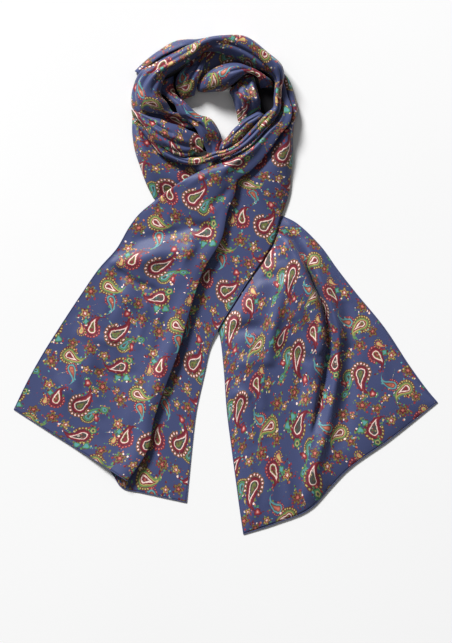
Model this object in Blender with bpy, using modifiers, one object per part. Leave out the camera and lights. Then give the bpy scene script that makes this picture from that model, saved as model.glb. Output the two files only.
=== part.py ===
"""Silk scarf laid flat: looped round twice, with both tails fanned out below the loop.

Tables are in millimetres. +Z is up from the surface that the scarf lies on, and +Y runs from
the tails to the loop. Heights are those of the middle of the cloth's wall.
"""
import bpy
import numpy as np

MM = 0.001
WALL = 1.5
HALF_WALL = WALL / 2
# Radius of the middle of the wall round a pressed fold, and the height from layer to layer
FOLD_RADIUS = 1.15
LAYER_STEP = 2 * FOLD_RADIUS
FOLD_STEPS = 5
# Radius of the quarter turn that a soft fold's edge makes under itself
TURN = 1.8
# Share of the crest's height that a rounded roll reaches at its shoulders
SHOULDER_PLACE = 0.35
SHOULDER_HEIGHT = 0.74
# Places of the grid's lines between a roll's seven outline points
ROLL_STEPS = np.array((0.0, 1.0, 1.55, 2.2, 3.0, 3.8, 4.45, 5.0, 6.0))

# Middle of the whole scarf's plan, in the frame of the tables
PLAN_CENTRE = (1.5, -0.36, 0.0)

# Each stretch of the loop: a row for each section along it, with its inner and outer edge in
# plan, the heights of its inner edge, crest and outer edge, and the crest's place between them.
# The main loop runs from the front left, round the front, right, top and left, to the front.
MAIN_LOOP = (
    # inner x, y, outer x, y, inner z, crest z, outer z, crest place
    (-109, 210, -114, 203, 6.0, 8.0, 5.5, 0.5),
    (-96, 198, -104, 192, 10.0, 12.5, 8.5, 0.5),
    (-86, 183, -93, 178, 12.0, 14.5, 10.0, 0.5),
    (-74, 173, -82, 164, 12.5, 15.5, 11.0, 0.5),
    (-60, 164, -66, 156, 13.0, 16.0, 12.0, 0.5),
    (-46, 159, -47, 150, 13.5, 17.0, 12.5, 0.5),
    (-28, 160, -26, 151, 16.0, 20.0, 13.0, 0.5),
    (-13, 166, -9, 157, 20.0, 23.0, 14.0, 0.5),
    (3, 169, 7, 162, 21.0, 25.0, 15.0, 0.5),
    (18, 178, 23, 170, 21.0, 26.5, 16.0, 0.5),
    (31, 191, 39, 182, 21.0, 27.0, 17.0, 0.5),
    (43, 204, 51, 195, 21.0, 28.0, 17.0, 0.5),
    (52, 214, 63, 206, 19.0, 28.0, 17.0, 0.5),
    (61, 222, 70, 218, 14.0, 28.0, 17.0, 0.5),
    (62, 234, 71, 233, 13.0, 27.0, 17.0, 0.5),
    (63, 247, 72, 246, 13.0, 26.0, 16.0, 0.5),
    (63, 257, 75, 260, 13.0, 27.0, 17.0, 0.5),
    (56, 264, 73, 273, 14.0, 31.0, 17.0, 0.6),
    (42, 270, 54, 292, 14.0, 34.0, 3.0, 0.68),
    (23, 278, 28, 311, 15.0, 36.0, 3.0, 0.72),
    (-3, 289, 0, 313, 14.0, 36.0, 3.0, 0.7),
    (-22, 292, -22, 310, 15.0, 35.0, 6.0, 0.6),
    (-41, 281, -43, 301, 17.0, 35.0, 18.0, 0.55),
    (-59, 270, -66, 289, 20.0, 36.0, 18.0, 0.5),
    (-74, 260, -88, 277, 24.0, 37.0, 18.0, 0.5),
    (-79, 247, -106, 266, 27.0, 37.0, 16.0, 0.45),
    (-79, 236, -115, 247, 24.0, 36.0, 4.0, 0.45),
    (-72, 227, -117, 228, 19.0, 34.0, 3.0, 0.4),
    (-66, 217, -113, 218, 14.0, 27.0, 5.0, 0.35),
    (-55, 213, -94, 210, 12.0, 20.0, 11.0, 0.3),
    (-43, 208, -69, 201, 10.5, 14.0, 11.0, 0.35),
    (-33, 202, -41, 195, 8.5, 10.5, 8.5, 0.5),
)
# Edge of the turn below, which shows outside the main loop at the top left
OUTER_FOLD = (
    (-106, 262, -113, 268, 5.0, 6.5, 3.0, 0.4),
    (-99, 267, -106, 275, 8.0, 9.5, 3.0, 0.4),
    (-90, 273, -96, 284, 11.0, 12.5, 3.0, 0.4),
    (-77, 282, -81, 295, 12.5, 15.2, 3.0, 0.4),
    (-65, 287, -64, 305, 12.8, 15.8, 3.0, 0.4),
    (-49, 295, -47, 308, 12.0, 15.0, 3.5, 0.4),
    (-38, 297, -38, 304, 8.5, 11.5, 7.5, 0.5),
)
# Band down the left of the neck opening, from under the main loop to under the front
INNER_LEFT = (
    (-64, 262, -84, 252, 8.0, 13.0, 12.0, 0.7),
    (-64, 249, -82, 241, 8.0, 17.0, 14.0, 0.7),
    (-62, 241, -75, 236, 11.0, 20.0, 15.5, 0.6),
    (-58, 235, -69, 230, 15.0, 21.5, 17.0, 0.5),
    (-50, 229, -62, 224, 17.0, 24.0, 18.5, 0.55),
    (-43, 222, -54, 215, 18.0, 25.0, 19.0, 0.5),
    (-33, 213, -42, 208, 17.0, 24.0, 19.0, 0.5),
    (-18, 208, -36, 195, 14.0, 23.0, 18.5, 0.5),
    (-8, 195, -30, 183, 11.0, 20.0, 17.0, 0.5),
    (-3, 181, -23, 169, 9.0, 12.5, 11.0, 0.5),
    (-2, 168, -20, 158, 8.0, 10.0, 8.0, 0.5),
)
# Pouch of cloth inside the front of the main loop, on the left
FRONT_FOLD = (
    (-117, 219, -115, 209, 13.0, 16.0, 12.0, 0.5),
    (-106, 215, -107, 205, 17.0, 20.0, 15.5, 0.5),
    (-94, 210, -98, 193, 19.0, 23.0, 18.0, 0.4),
    (-81, 207, -89, 180, 20.0, 25.0, 18.0, 0.35),
    (-69, 202, -75, 171, 20.0, 26.0, 18.0, 0.35),
    (-55, 198, -60, 162, 17.0, 23.5, 18.0, 0.4),
    (-45, 193, -47, 160, 14.5, 19.5, 16.5, 0.5),
    (-35, 189, -36, 164, 10.5, 13.8, 10.5, 0.5),
    (-25, 182, -27, 166, 8.0, 10.0, 8.0, 0.5),
)
# Inner band along the front of the neck opening
INNER_FRONT = (
    (-4, 178, -7, 167, 14.0, 16.0, 14.0, 0.5),
    (2, 183, 2, 169, 13.0, 19.0, 14.0, 0.4),
    (9, 192, 15, 176, 13.0, 20.0, 14.0, 0.4),
    (17, 200, 27, 187, 14.0, 21.0, 14.0, 0.4),
    (25, 207, 36, 197, 15.0, 22.0, 14.0, 0.4),
    (34, 212, 45, 205, 16.5, 21.0, 14.0, 0.4),
    (43, 217, 51, 212, 15.0, 17.0, 13.0, 0.5),
)
# Band up the right of the neck opening, with its ridge on the far side
INNER_RIGHT = (
    (27, 262, 36, 263, 14.0, 16.0, 14.0, 0.6),
    (16, 252, 39, 253, 14.0, 21.0, 13.0, 0.75),
    (7, 243, 42, 242, 12.0, 27.0, 9.0, 0.8),
    (11, 232, 45, 231, 10.0, 29.0, 9.0, 0.8),
    (14, 221, 45, 226, 9.0, 22.0, 9.0, 0.8),
    (16, 212, 45, 218, 8.2, 13.0, 8.2, 0.7),
    (18, 203, 42, 209, 8.2, 8.8, 8.2, 0.5),
    (23, 196, 38, 203, 8.2, 8.8, 8.2, 0.5),
)
# Lit band over the top of the neck opening
INNER_TOP = (
    (-33, 242, -37, 254, 8.0, 10.0, 8.0, 0.5),
    (-25, 241, -25, 262, 11.0, 22.0, 15.0, 0.55),
    (-14, 242, -14, 270, 11.0, 31.0, 19.0, 0.6),
    (-1, 243, 1, 276, 12.0, 34.0, 20.0, 0.6),
    (13, 253, 17, 277, 20.0, 34.0, 21.0, 0.55),
    (28, 264, 30, 273, 25.0, 31.0, 22.0, 0.5),
    (38, 262, 41, 268, 24.0, 28.0, 21.0, 0.5),
    (43, 256, 52, 261, 20.0, 25.0, 18.0, 0.5),
    (44, 250, 60, 254, 13.0, 18.0, 12.0, 0.5),
    (45, 246, 60, 248, 8.0, 10.5, 8.0, 0.5),
)
# Twisted fold that drops from under the main loop to the neck opening, with its ridge on the right
TWISTED_FOLD = (
    (-20, 296, -42, 284, 8.0, 10.5, 8.0, 0.4),
    (-22, 286, -48, 274, 11.0, 14.0, 10.0, 0.3),
    (-26, 276, -54, 268, 15.0, 22.0, 12.0, 0.2),
    (-29, 265, -59, 261, 17.0, 23.0, 13.0, 0.22),
    (-34, 252, -61, 249, 15.0, 20.0, 13.0, 0.3),
    (-36, 243, -58, 240, 9.5, 16.0, 10.0, 0.4),
    (-38, 237, -54, 231, 7.5, 10.0, 7.5, 0.5),
)
# Valley between the main loop and the inner top
INNER_VALLEY = (
    (35, 266, 40, 273, 8.0, 10.0, 8.0, 0.5),
    (20, 271, 20, 284, 8.0, 10.0, 8.0, 0.5),
    (-1, 268, 1, 294, 8.0, 10.5, 8.0, 0.5),
    (-16, 262, -14, 298, 8.0, 10.5, 8.0, 0.5),
    (-27, 257, -19, 284, 8.0, 10.0, 8.0, 0.5),
)

# Left tail, from where it passes under the top right of the main loop, down its right side and
# out to the hem: the rolled or hemmed left edge, the edge of the long pleat and the right edge.
LEFT_TAIL = (
    # edge x, y, pleat x, y, right x, y
    (55, 264, 66, 267, 71, 269),
    (64, 252, 75, 252, 82, 256),
    (68, 238, 79, 237, 88, 238),
    (69, 219, 85, 217, 92, 216),
    (61, 207, 81, 201, 88, 202),
    (49, 196, 70, 188, 86, 184),
    (30, 177, 55, 166, 86, 161),
    (6, 163, 35, 144, 84, 139),
    (-23, 146, 17, 131, 81, 113),
    (-49, 132, 13, 113, 70, 81),
    (-71, 118, 4, 91, 61, 53),
    (-91, 102, -3, 58, 47, 28),
    (-109, 86, -17, 33, 27, 0),
    (-120, 71, -26, 18, 12, -24),
    (-135, 45, -36, -9, -3, -48),
    (-157, 20, -46, -43, -17, -75),
    (-182, -16, -59, -88, -26, -115),
    (-207, -54, -75, -131, -36, -161),
    (-229, -89, -88, -168, -41, -203),
    (-249, -125, -98, -212, -45, -244),
    (-265, -158, -122, -248, -48, -275),
)
# Points across the visible panel, from the left edge's turn to the long pleat's upper layer:
# share of the way, share of the rise where the edge lies flat, and more rise where it is rolled
PANEL_POINTS = (
    # way, rise, more rise
    (0.12, 0.15, 0.4),
    (0.35, 0.6, 0.15),
    (0.68, 1.0, 0.0),
)
# Points across the strip beside the pleat: share of the way, and the shares that the hidden fold,
# the strip and the right edge have in the height
STRIP_POINTS = (
    # way, hidden, strip, right
    (0.0, 0.7, 0.3, 0.0),
    (0.3, 0.0, 1.0, 0.0),
    (0.65, 0.0, 1.0, 0.0),
    (0.9, 0.0, 0.5, 0.5),
    (1.0, 0.0, 0.0, 1.0),
)
# Its heights, by the number of the section above: left edge, middle of the panel, top of the
# pleat, hidden fold, strip beside the pleat and right edge; then how deep the pleat goes under,
# how far the left edge is rolled (1) or flat (0), and how far the strip has slipped down.
LEFT_TAIL_HEIGHTS = (
    # section, edge, panel, pleat, hidden, strip, right, depth, roll, slip
    (0, 8.0, 9.0, 8.5, 3.2, 5.0, 3.2, 3.0, 0.0, 0.0),
    (1, 8.5, 10.0, 10.5, 4.5, 7.0, 3.2, 3.0, 0.0, 0.0),
    (2, 9.0, 12.0, 12.5, 6.0, 9.5, 3.0, 4.0, 0.0, 0.0),
    (3, 9.0, 18.0, 17.0, 8.0, 12.0, 3.0, 5.0, 0.0, 0.0),
    (5, 9.0, 24.0, 21.0, 9.0, 15.0, 3.0, 7.0, 0.0, 0.0),
    (7, 9.0, 24.0, 18.0, 9.0, 14.0, 3.0, 12.0, 0.0, 0.0),
    (8, 12.0, 22.0, 16.0, 8.0, 12.0, 3.0, 11.0, 0.8, 0.0),
    (9, 12.0, 17.0, 13.0, 6.0, 8.0, 3.2, 8.0, 1.0, 0.0),
    (11, 4.5, 10.0, 11.0, 4.5, 6.0, 3.5, 14.0, 0.3, 0.0),
    (14, 0.75, 5.0, 9.0, 4.0, 5.0, 3.2, 24.0, 0.0, 0.0),
    (16, 0.75, 2.5, 5.8, 0.9, 2.0, 0.75, 28.0, 0.0, 0.0),
    (20, 0.75, 2.0, 5.5, 0.75, 1.5, 0.75, 30.0, 0.0, 11.0),
)

# Right tail, from the left of the loop, under the left tail and out to the hem: its two edges,
# the heights of the left edge, crest, valley and right edge, and the places of crest and valley.
RIGHT_TAIL = (
    # left x, y, right x, y, left z, crest z, valley z, right z, crest place, valley place
    (-115, 199, -97, 193, 2.5, 3.0, 3.0, 3.0, 0.3, 0.6),
    (-116, 189, -80, 183, 2.5, 9.0, 3.5, 3.0, 0.25, 0.6),
    (-113, 169, -57, 168, 2.5, 13.0, 4.5, 3.0, 0.22, 0.48),
    (-106, 147, -21, 160, 2.5, 13.0, 4.5, 3.0, 0.2, 0.44),
    (-98, 125, 10, 152, 2.0, 10.0, 4.0, 2.5, 0.22, 0.46),
    (-89, 107, 30, 135, 1.2, 3.5, 2.5, 1.5, 0.25, 0.5),
    (-71, 66, 45, 108, 0.75, 1.2, 1.2, 1.0, 0.3, 0.6),
    (-46, 18, 66, 89, 0.75, 1.0, 1.0, 0.75, 0.3, 0.6),
    (-23, -24, 91, 76, 0.75, 1.0, 1.0, 0.75, 0.3, 0.6),
    (-6, -64, 122, 46, 0.75, 2.5, 2.0, 0.75, 0.3, 0.7),
    (-1, -102, 140, 21, 0.75, 3.0, 2.0, 0.75, 0.3, 0.7),
    (3, -156, 164, -10, 0.75, 3.0, 2.0, 0.75, 0.3, 0.7),
    (9, -205, 201, -55, 0.75, 2.5, 2.0, 0.75, 0.3, 0.7),
    (15, -250, 234, -105, 0.75, 2.0, 1.5, 0.75, 0.3, 0.7),
    (20, -287, 256, -135, 0.75, 1.5, 1.5, 0.75, 0.3, 0.7),
    (24, -315, 268, -149, 0.75, 1.5, 1.5, 0.75, 0.3, 0.7),
)
# How far the right tail's hem bows out past the line between its corners, across its width
HEM_BOW = (
    # place, bow
    (0.0, 0.0),
    (0.15, 12.0),
    (0.33, 21.0),
    (0.42, 14.0),
    (0.5, 8.0),
    (0.75, 5.0),
    (1.0, 0.0),
)
HEM_BOW_SECTIONS = 4
# How far toward the right tail's crest its steep rise lies, and the share of the height there
CREST_RISE_PLACE = 0.45
CREST_RISE_SHARE = 0.8
# Soft ridges of the tails, each between two points in plan, and how sharply they rise from them
RIDGE_TAPER = 0.8
RIGHT_TAIL_RIDGES = (
    # start x, y, end x, y, height, half width
    (100, 58, 156, -80, 9.0, 11.0),
    (70, 30, 116, -120, 9.0, 14.0),
    (104, -60, 122, -330, 6.0, 15.0),
    (14, -70, 48, -200, 4.0, 14.0),
    (160, -50, 235, -190, 3.0, 16.0),
)
LEFT_TAIL_RIDGES = (
    (-70, 70, -150, -60, 3.5, 18.0),
    (-20, 100, -75, -30, 3.0, 14.0),
    (-150, -60, -215, -165, 2.5, 16.0),
    (-75, -95, -125, -190, 2.5, 14.0),
)

# Hidden turns of the loop, one rounded solid round the neck opening
RING_CENTRE = (-14.0, 219.0)
HIDDEN_LAYERS = (
    # direction in degrees, inner radius, outer radius
    (0, 40, 91),
    (15, 39, 88),
    (30, 38, 84),
    (60, 36, 78),
    (90, 32, 76),
    (120, 36, 76),
    (150, 44, 86),
    (180, 39, 88),
    (205, 35, 66),
    (225, 29, 56),
    (250, 25, 51),
    (270, 25, 54),
    (285, 44, 55),
    (300, 45, 58),
    (315, 44, 62),
    (330, 44, 76),
)
HIDDEN_TOP = 5.0
HIDDEN_LAYER_COUNT = 3
HIDDEN_LAYER_INSET = 0.5
HIDDEN_LAYER_GROOVE = 0.6

SILK = (0.09, 0.10, 0.24, 1.0)
SILK_LINING_SHADE = (0.05, 0.06, 0.14, 1.0)
SILK_ROUGHNESS = 0.5


def smooth(knots, rows, places):
    """Rows read at the given places from a smooth curve through the table's rows."""
    knots = np.asarray(knots, dtype=float)
    rows = np.asarray(rows, dtype=float)
    places = np.clip(places, knots[0], knots[-1])
    steps = np.diff(knots)
    slopes = np.diff(rows, axis=0) / steps[:, None]
    tangents = np.empty_like(rows)
    tangents[0] = slopes[0]
    tangents[-1] = slopes[-1]
    before = steps[:-1, None]
    after = steps[1:, None]
    tangents[1:-1] = (slopes[:-1] * after + slopes[1:] * before) / (before + after)
    index = np.clip(np.searchsorted(knots, places, side="right") - 1, 0, len(knots) - 2)
    step = steps[index][:, None]
    t = (places - knots[index])[:, None] / step
    start = rows[index]
    end = rows[index + 1]
    return (
        start * (1 + 2 * t) * (1 - t) ** 2
        + tangents[index] * step * t * (1 - t) ** 2
        + end * t ** 2 * (3 - 2 * t)
        - tangents[index + 1] * step * t ** 2 * (1 - t)
    )


def sections_along(table, plan_columns, count):
    """Evenly spaced sections of a table whose first columns are edge points in plan."""
    table = np.asarray(table, dtype=float)
    plan = table[:, :plan_columns].reshape(len(table), -1, 2).mean(axis=1)
    gaps = np.linalg.norm(np.diff(plan, axis=0), axis=1)
    knots = np.concatenate(([0.0], np.cumsum(gaps)))
    return smooth(knots, table, np.linspace(0.0, knots[-1], count))


def roll_grid(table, along):
    """Grid over a soft roll: both edges turn under, and the crest stands between them."""
    grid = []
    for inner_x, inner_y, outer_x, outer_y, inner_z, crest_z, outer_z, crest in sections_along(
        table, 4, along
    ):
        inner = np.array((inner_x, inner_y))
        outer = np.array((outer_x, outer_y))
        width = np.linalg.norm(outer - inner)
        turn = TURN / width
        inner_low = max(inner_z - TURN, HALF_WALL)
        outer_low = max(outer_z - TURN, HALF_WALL)
        rise_in = inner_z + SHOULDER_HEIGHT * (crest_z - inner_z)
        rise_out = outer_z + SHOULDER_HEIGHT * (crest_z - outer_z)
        outline = (
            (turn, inner_low),
            (0.0, inner_z),
            (SHOULDER_PLACE * crest, rise_in),
            (crest, crest_z),
            (1 - SHOULDER_PLACE * (1 - crest), rise_out),
            (1.0, outer_z),
            (1 - turn, outer_low),
        )
        points = [(*(inner + place * (outer - inner)), z) for place, z in outline]
        grid.append(smooth(np.arange(len(points)), points, ROLL_STEPS))
    return np.array(grid)


def ridge_heights(points, ridges):
    """Height that the soft ridges add at points in plan."""
    heights = np.zeros(points.shape[:-1])
    for start_x, start_y, end_x, end_y, height, half_width in ridges:
        start = np.array((start_x, start_y), dtype=float)
        run = np.array((end_x - start_x, end_y - start_y), dtype=float)
        offset = points[..., :2] - start
        place = np.clip(offset @ run / (run @ run), 0.0, 1.0)
        distance = np.linalg.norm(offset - place[..., None] * run, axis=-1)
        rise = np.sin(np.pi * place) ** RIDGE_TAPER
        heights += height * rise * np.exp(-(distance / half_width) ** 2)
    return heights


def fold_nose(edge, inward, top):
    """Half circle round a pressed fold's edge, from its upper layer down to its lower one."""
    centre = edge + inward * FOLD_RADIUS
    points = []
    for turn in np.linspace(0.0, np.pi, FOLD_STEPS):
        plan = centre - inward * FOLD_RADIUS * np.sin(turn)
        points.append((*plan, top - FOLD_RADIUS + FOLD_RADIUS * np.cos(turn)))
    return points


def left_tail_grid(along):
    """Grid over the left tail: the panel, the pleat's hidden layer and the strip beside it."""
    heights = np.asarray(LEFT_TAIL_HEIGHTS, dtype=float)
    rows = np.arange(len(LEFT_TAIL))
    table = np.hstack((LEFT_TAIL, smooth(heights[:, 0], heights[:, 1:], rows)))
    sections = sections_along(table, 6, along)
    lengthwise = np.gradient(sections[:, 2:4], axis=0)
    lengthwise /= np.linalg.norm(lengthwise, axis=1)[:, None]
    grid = []
    for section, down in zip(sections, lengthwise):
        edge, pleat, right = section[0:2], section[2:4], section[4:6]
        edge_z, panel_z, pleat_z, hidden_z, strip_z, right_z, depth, roll, slip = section[6:]
        panel = pleat - edge
        panel_width = np.linalg.norm(panel)
        inward = -panel / panel_width
        hidden = pleat + inward * depth
        strip_start = pleat + down * slip
        turn = -inward * TURN
        reach = -inward * (panel_width - depth - 2 * TURN)
        rise = panel_z - edge_z
        points = [
            (*(edge + turn * roll), edge_z - TURN * roll),
            (*(edge + turn * (1 - roll)), edge_z),
        ]
        for way, share, rolled_share in PANEL_POINTS:
            points.append((*(edge + turn + reach * way), edge_z + (share + rolled_share * roll) * rise))
        over_fold_z = max(hidden_z + 2 * LAYER_STEP, (panel_z + pleat_z) / 2)
        points.append((*(edge + turn + reach), over_fold_z))
        points += fold_nose(pleat, inward, pleat_z)
        points += fold_nose(hidden, -inward, hidden_z + LAYER_STEP)
        for way, hidden_share, strip_share, right_share in STRIP_POINTS:
            z = hidden_share * hidden_z + strip_share * strip_z + right_share * right_z
            points.append((*(strip_start + way * (right - strip_start)), z))
        grid.append(points)
    grid = np.array(grid)
    panel_columns = slice(1, 3 + len(PANEL_POINTS))
    grid[:, panel_columns, 2] += ridge_heights(grid[:, panel_columns], LEFT_TAIL_RIDGES)
    grid[..., 2] = np.maximum(grid[..., 2], HALF_WALL)
    return grid


def right_tail_grid(along, across):
    """Grid over the right tail, with its hem bowed out and its ridges raised."""
    sections = sections_along(RIGHT_TAIL, 4, along)
    lengthwise = np.gradient(sections[:, 0:4].reshape(along, 2, 2).mean(axis=1), axis=0)
    lengthwise /= np.linalg.norm(lengthwise, axis=1)[:, None]
    places = np.linspace(0.0, 1.0, across)
    bow = smooth([row[0] for row in HEM_BOW], [[row[1]] for row in HEM_BOW], places)[:, 0]
    bow_start = 1 - HEM_BOW_SECTIONS / len(RIGHT_TAIL)
    grid = []
    for number, section in enumerate(sections):
        left, right = section[0:2], section[2:4]
        left_z, crest_z, valley_z, right_z, crest, valley = section[4:]
        knots = (0.0, crest * CREST_RISE_PLACE, crest, (crest + valley) / 2, valley, 1.0)
        rise_z = left_z + CREST_RISE_SHARE * (crest_z - left_z)
        levels = (left_z, rise_z, crest_z, (crest_z + valley_z) / 2, valley_z, right_z)
        z = smooth(knots, [[level] for level in levels], places)[:, 0]
        share = max(0.0, (number / (along - 1) - bow_start) / (1 - bow_start))
        plan = left + places[:, None] * (right - left)
        plan += lengthwise[number] * (bow * share ** 2)[:, None]
        grid.append(np.column_stack((plan, np.maximum(z, HALF_WALL))))
    grid = np.array(grid)
    grid[..., 2] += ridge_heights(grid, RIGHT_TAIL_RIDGES)
    return grid


def silk_material(name, colour):
    material = bpy.data.materials.new(name)
    material.use_nodes = True
    shader = material.node_tree.nodes["Principled BSDF"]
    shader.inputs["Base Color"].default_value = colour
    shader.inputs["Roughness"].default_value = SILK_ROUGHNESS
    shader.inputs["Metallic"].default_value = 0.0
    return material


def add_object(name, points, faces, material):
    mesh = bpy.data.meshes.new(name)
    placed = (np.asarray(points).reshape(-1, 3) - PLAN_CENTRE) * MM
    mesh.from_pydata(placed.tolist(), [], faces)
    mesh.materials.append(material)
    mesh.shade_smooth()
    piece = bpy.data.objects.new(name, mesh)
    scarf.objects.link(piece)
    return piece


def cloth(name, grid, material):
    """Cloth wall on a grid of points, half of it on each side of them."""
    along, across = grid.shape[:2]
    faces = []
    for i in range(along - 1):
        for j in range(across - 1):
            corner = i * across + j
            faces.append((corner, corner + across, corner + across + 1, corner + 1))
    piece = add_object(name, grid, faces, material)
    wall = piece.modifiers.new("Wall", "SOLIDIFY")
    wall.thickness = WALL * MM
    wall.offset = 0.0
    wall.use_rim = True
    return piece


def hidden_layers(name, turns, material):
    """Closed ring on a flat underside, with grooves between its layers at both edges."""
    table = np.asarray(HIDDEN_LAYERS, dtype=float)
    closing = table[0] + (360.0, 0.0, 0.0)
    table = np.vstack((table, closing))
    angles = np.linspace(0.0, 360.0, turns, endpoint=False)
    radii = smooth(table[:, 0], table[:, 1:], angles)
    edge = [(0.0, 0.0)]
    layer_height = HIDDEN_TOP / HIDDEN_LAYER_COUNT
    for layer in range(HIDDEN_LAYER_COUNT):
        inset = HIDDEN_LAYER_INSET * layer
        edge.append((inset, (layer + 0.5) * layer_height))
        edge.append((inset + HIDDEN_LAYER_GROOVE, (layer + 1) * layer_height))
    edge[-1] = (edge[-1][0] + HIDDEN_LAYER_GROOVE, HIDDEN_TOP)
    points = []
    for angle, (inner, outer) in zip(np.radians(angles), radii):
        direction = np.array((np.cos(angle), np.sin(angle)))
        outline = [(inner + inset, z) for inset, z in edge]
        outline += [(outer - inset, z) for inset, z in reversed(edge)]
        for radius, z in outline:
            points.append((*(np.array(RING_CENTRE) + radius * direction), z))
    size = 2 * len(edge)
    faces = []
    for turn in range(turns):
        following = (turn + 1) % turns
        for corner in range(size):
            after = (corner + 1) % size
            faces.append((
                turn * size + after,
                following * size + after,
                following * size + corner,
                turn * size + corner,
            ))
    return add_object(name, points, faces, material)


for item in list(bpy.data.objects):
    bpy.data.objects.remove(item, do_unlink=True)

scarf = bpy.data.collections.new("silk_scarf")
bpy.context.scene.collection.children.link(scarf)

silk = silk_material("printed_silk", SILK)
shaded_silk = silk_material("printed_silk_hidden", SILK_LINING_SHADE)

cloth("left_tail", left_tail_grid(along=34), silk)
cloth("right_tail", right_tail_grid(along=34, across=17), silk)
for stretch, table, sections in (
    ("main_loop", MAIN_LOOP, 64),
    ("outer_fold", OUTER_FOLD, 12),
    ("inner_left", INNER_LEFT, 16),
    ("front_fold", FRONT_FOLD, 16),
    ("inner_front", INNER_FRONT, 12),
    ("inner_right", INNER_RIGHT, 12),
    ("inner_top", INNER_TOP, 18),
    ("inner_valley", INNER_VALLEY, 9),
    ("twisted_fold", TWISTED_FOLD, 12),
):
    cloth(stretch, roll_grid(table, sections), silk)
hidden_layers("hidden_layers", 36, shaded_silk)
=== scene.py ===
"""Printed silk twill scarf, laid flat on a pale floor: looped round twice, both tails fanned out.

Tables are in millimetres. +Z is up from the floor, and +Y runs from the tails to the loop.
Heights are those of the middle of the cloth.
"""
import bpy
import math
import numpy as np
from mathutils import Color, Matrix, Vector


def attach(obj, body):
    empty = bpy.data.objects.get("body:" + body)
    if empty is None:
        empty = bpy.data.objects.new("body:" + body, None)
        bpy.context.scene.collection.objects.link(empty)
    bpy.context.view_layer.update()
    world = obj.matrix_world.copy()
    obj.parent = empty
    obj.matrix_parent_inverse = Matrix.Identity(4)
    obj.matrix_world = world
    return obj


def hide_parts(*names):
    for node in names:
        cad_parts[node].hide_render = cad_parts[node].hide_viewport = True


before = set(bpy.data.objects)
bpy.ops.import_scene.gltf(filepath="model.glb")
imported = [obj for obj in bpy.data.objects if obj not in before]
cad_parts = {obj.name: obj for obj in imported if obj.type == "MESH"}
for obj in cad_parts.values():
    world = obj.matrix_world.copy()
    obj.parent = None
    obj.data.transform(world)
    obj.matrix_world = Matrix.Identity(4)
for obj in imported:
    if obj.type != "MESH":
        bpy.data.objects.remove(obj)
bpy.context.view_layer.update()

MM = 0.001
SILK_THICKNESS = 0.4
# Radius of a pressed fold, and the height from layer to layer
FOLD_RADIUS = 1.15
LAYER_STEP = 2 * FOLD_RADIUS
FOLD_STEPS = 5
LOWEST = 0.75
# Radius of the quarter turn that a soft fold's edge makes under itself
TURN = 1.8
# Share of the crest's height that a rounded roll reaches at its shoulders
SHOULDER_PLACE = 0.35
SHOULDER_HEIGHT = 0.74

# Middle of the whole scarf's plan, in the frame of the tables
PLAN_CENTRE = (1.5, -0.36, 0.0)

# Each stretch of the loop, a row for each section along it, with the crest's place between its
# edges. The main loop runs from the front left, round the front, right, top and left, to the front.
MAIN_LOOP = (
    # inner x, y, outer x, y, inner z, crest z, outer z, crest place
    (-109, 210, -114, 203, 6, 8, 5.5, 0.5),
    (-96, 198, -104, 192, 10, 12.5, 8.5, 0.5),
    (-86, 183, -93, 178, 12, 14.5, 10, 0.5),
    (-74, 173, -82, 164, 12.5, 15.5, 11, 0.5),
    (-60, 164, -66, 156, 13, 16, 12, 0.5),
    (-46, 159, -47, 150, 13.5, 17, 12.5, 0.5),
    (-28, 160, -26, 151, 16, 20, 13, 0.5),
    (-13, 166, -9, 157, 20, 23, 14, 0.5),
    (3, 169, 7, 162, 21, 25, 15, 0.5),
    (18, 178, 23, 170, 21, 26.5, 16, 0.5),
    (31, 191, 39, 182, 21, 27, 17, 0.5),
    (43, 204, 51, 195, 21, 28, 17, 0.5),
    (52, 214, 63, 206, 19, 28, 17, 0.5),
    (61, 222, 70, 218, 14, 28, 17, 0.5),
    (62, 234, 71, 233, 13, 27, 17, 0.5),
    (63, 247, 72, 246, 13, 26, 16, 0.5),
    (63, 257, 75, 260, 13, 27, 17, 0.5),
    (56, 264, 73, 273, 14, 31, 17, 0.6),
    (42, 270, 54, 292, 14, 34, 3, 0.78),
    (23, 278, 28, 311, 15, 36, 3, 0.84),
    (-3, 289, 0, 313, 14, 36, 3, 0.84),
    (-22, 292, -22, 310, 15, 35, 6, 0.75),
    (-41, 281, -43, 301, 17, 35, 18, 0.55),
    (-59, 270, -66, 289, 20, 36, 18, 0.5),
    (-74, 260, -88, 277, 24, 37, 18, 0.5),
    (-79, 247, -106, 266, 27, 37, 16, 0.45),
    (-79, 236, -115, 247, 24, 36, 4, 0.45),
    (-72, 227, -117, 228, 19, 34, 3, 0.4),
    (-66, 217, -113, 218, 14, 26, 5, 0.33),
    (-54, 215, -94, 210, 12, 18.5, 10, 0.28),
    (-43, 208, -69, 201, 10.5, 14, 11, 0.35),
    (-33, 202, -41, 195, 8.5, 10.5, 8.5, 0.5),
)
# Edge of the turn below, which shows outside the main loop at the top left
OUTER_FOLD = (
    (-106, 262, -113, 268, 5, 6.5, 3, 0.4),
    (-99, 267, -106, 275, 8, 9.5, 3, 0.4),
    (-90, 273, -96, 284, 11, 12.5, 3, 0.4),
    (-77, 282, -81, 295, 12.5, 15.2, 3, 0.4),
    (-65, 287, -64, 305, 12.8, 15.8, 3, 0.4),
    (-49, 295, -47, 308, 12, 15, 3.5, 0.4),
    (-38, 297, -36, 308, 8.5, 11.5, 4, 0.5),
    (-28, 298, -26, 309.5, 3, 4, 2, 0.5),
)
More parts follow.
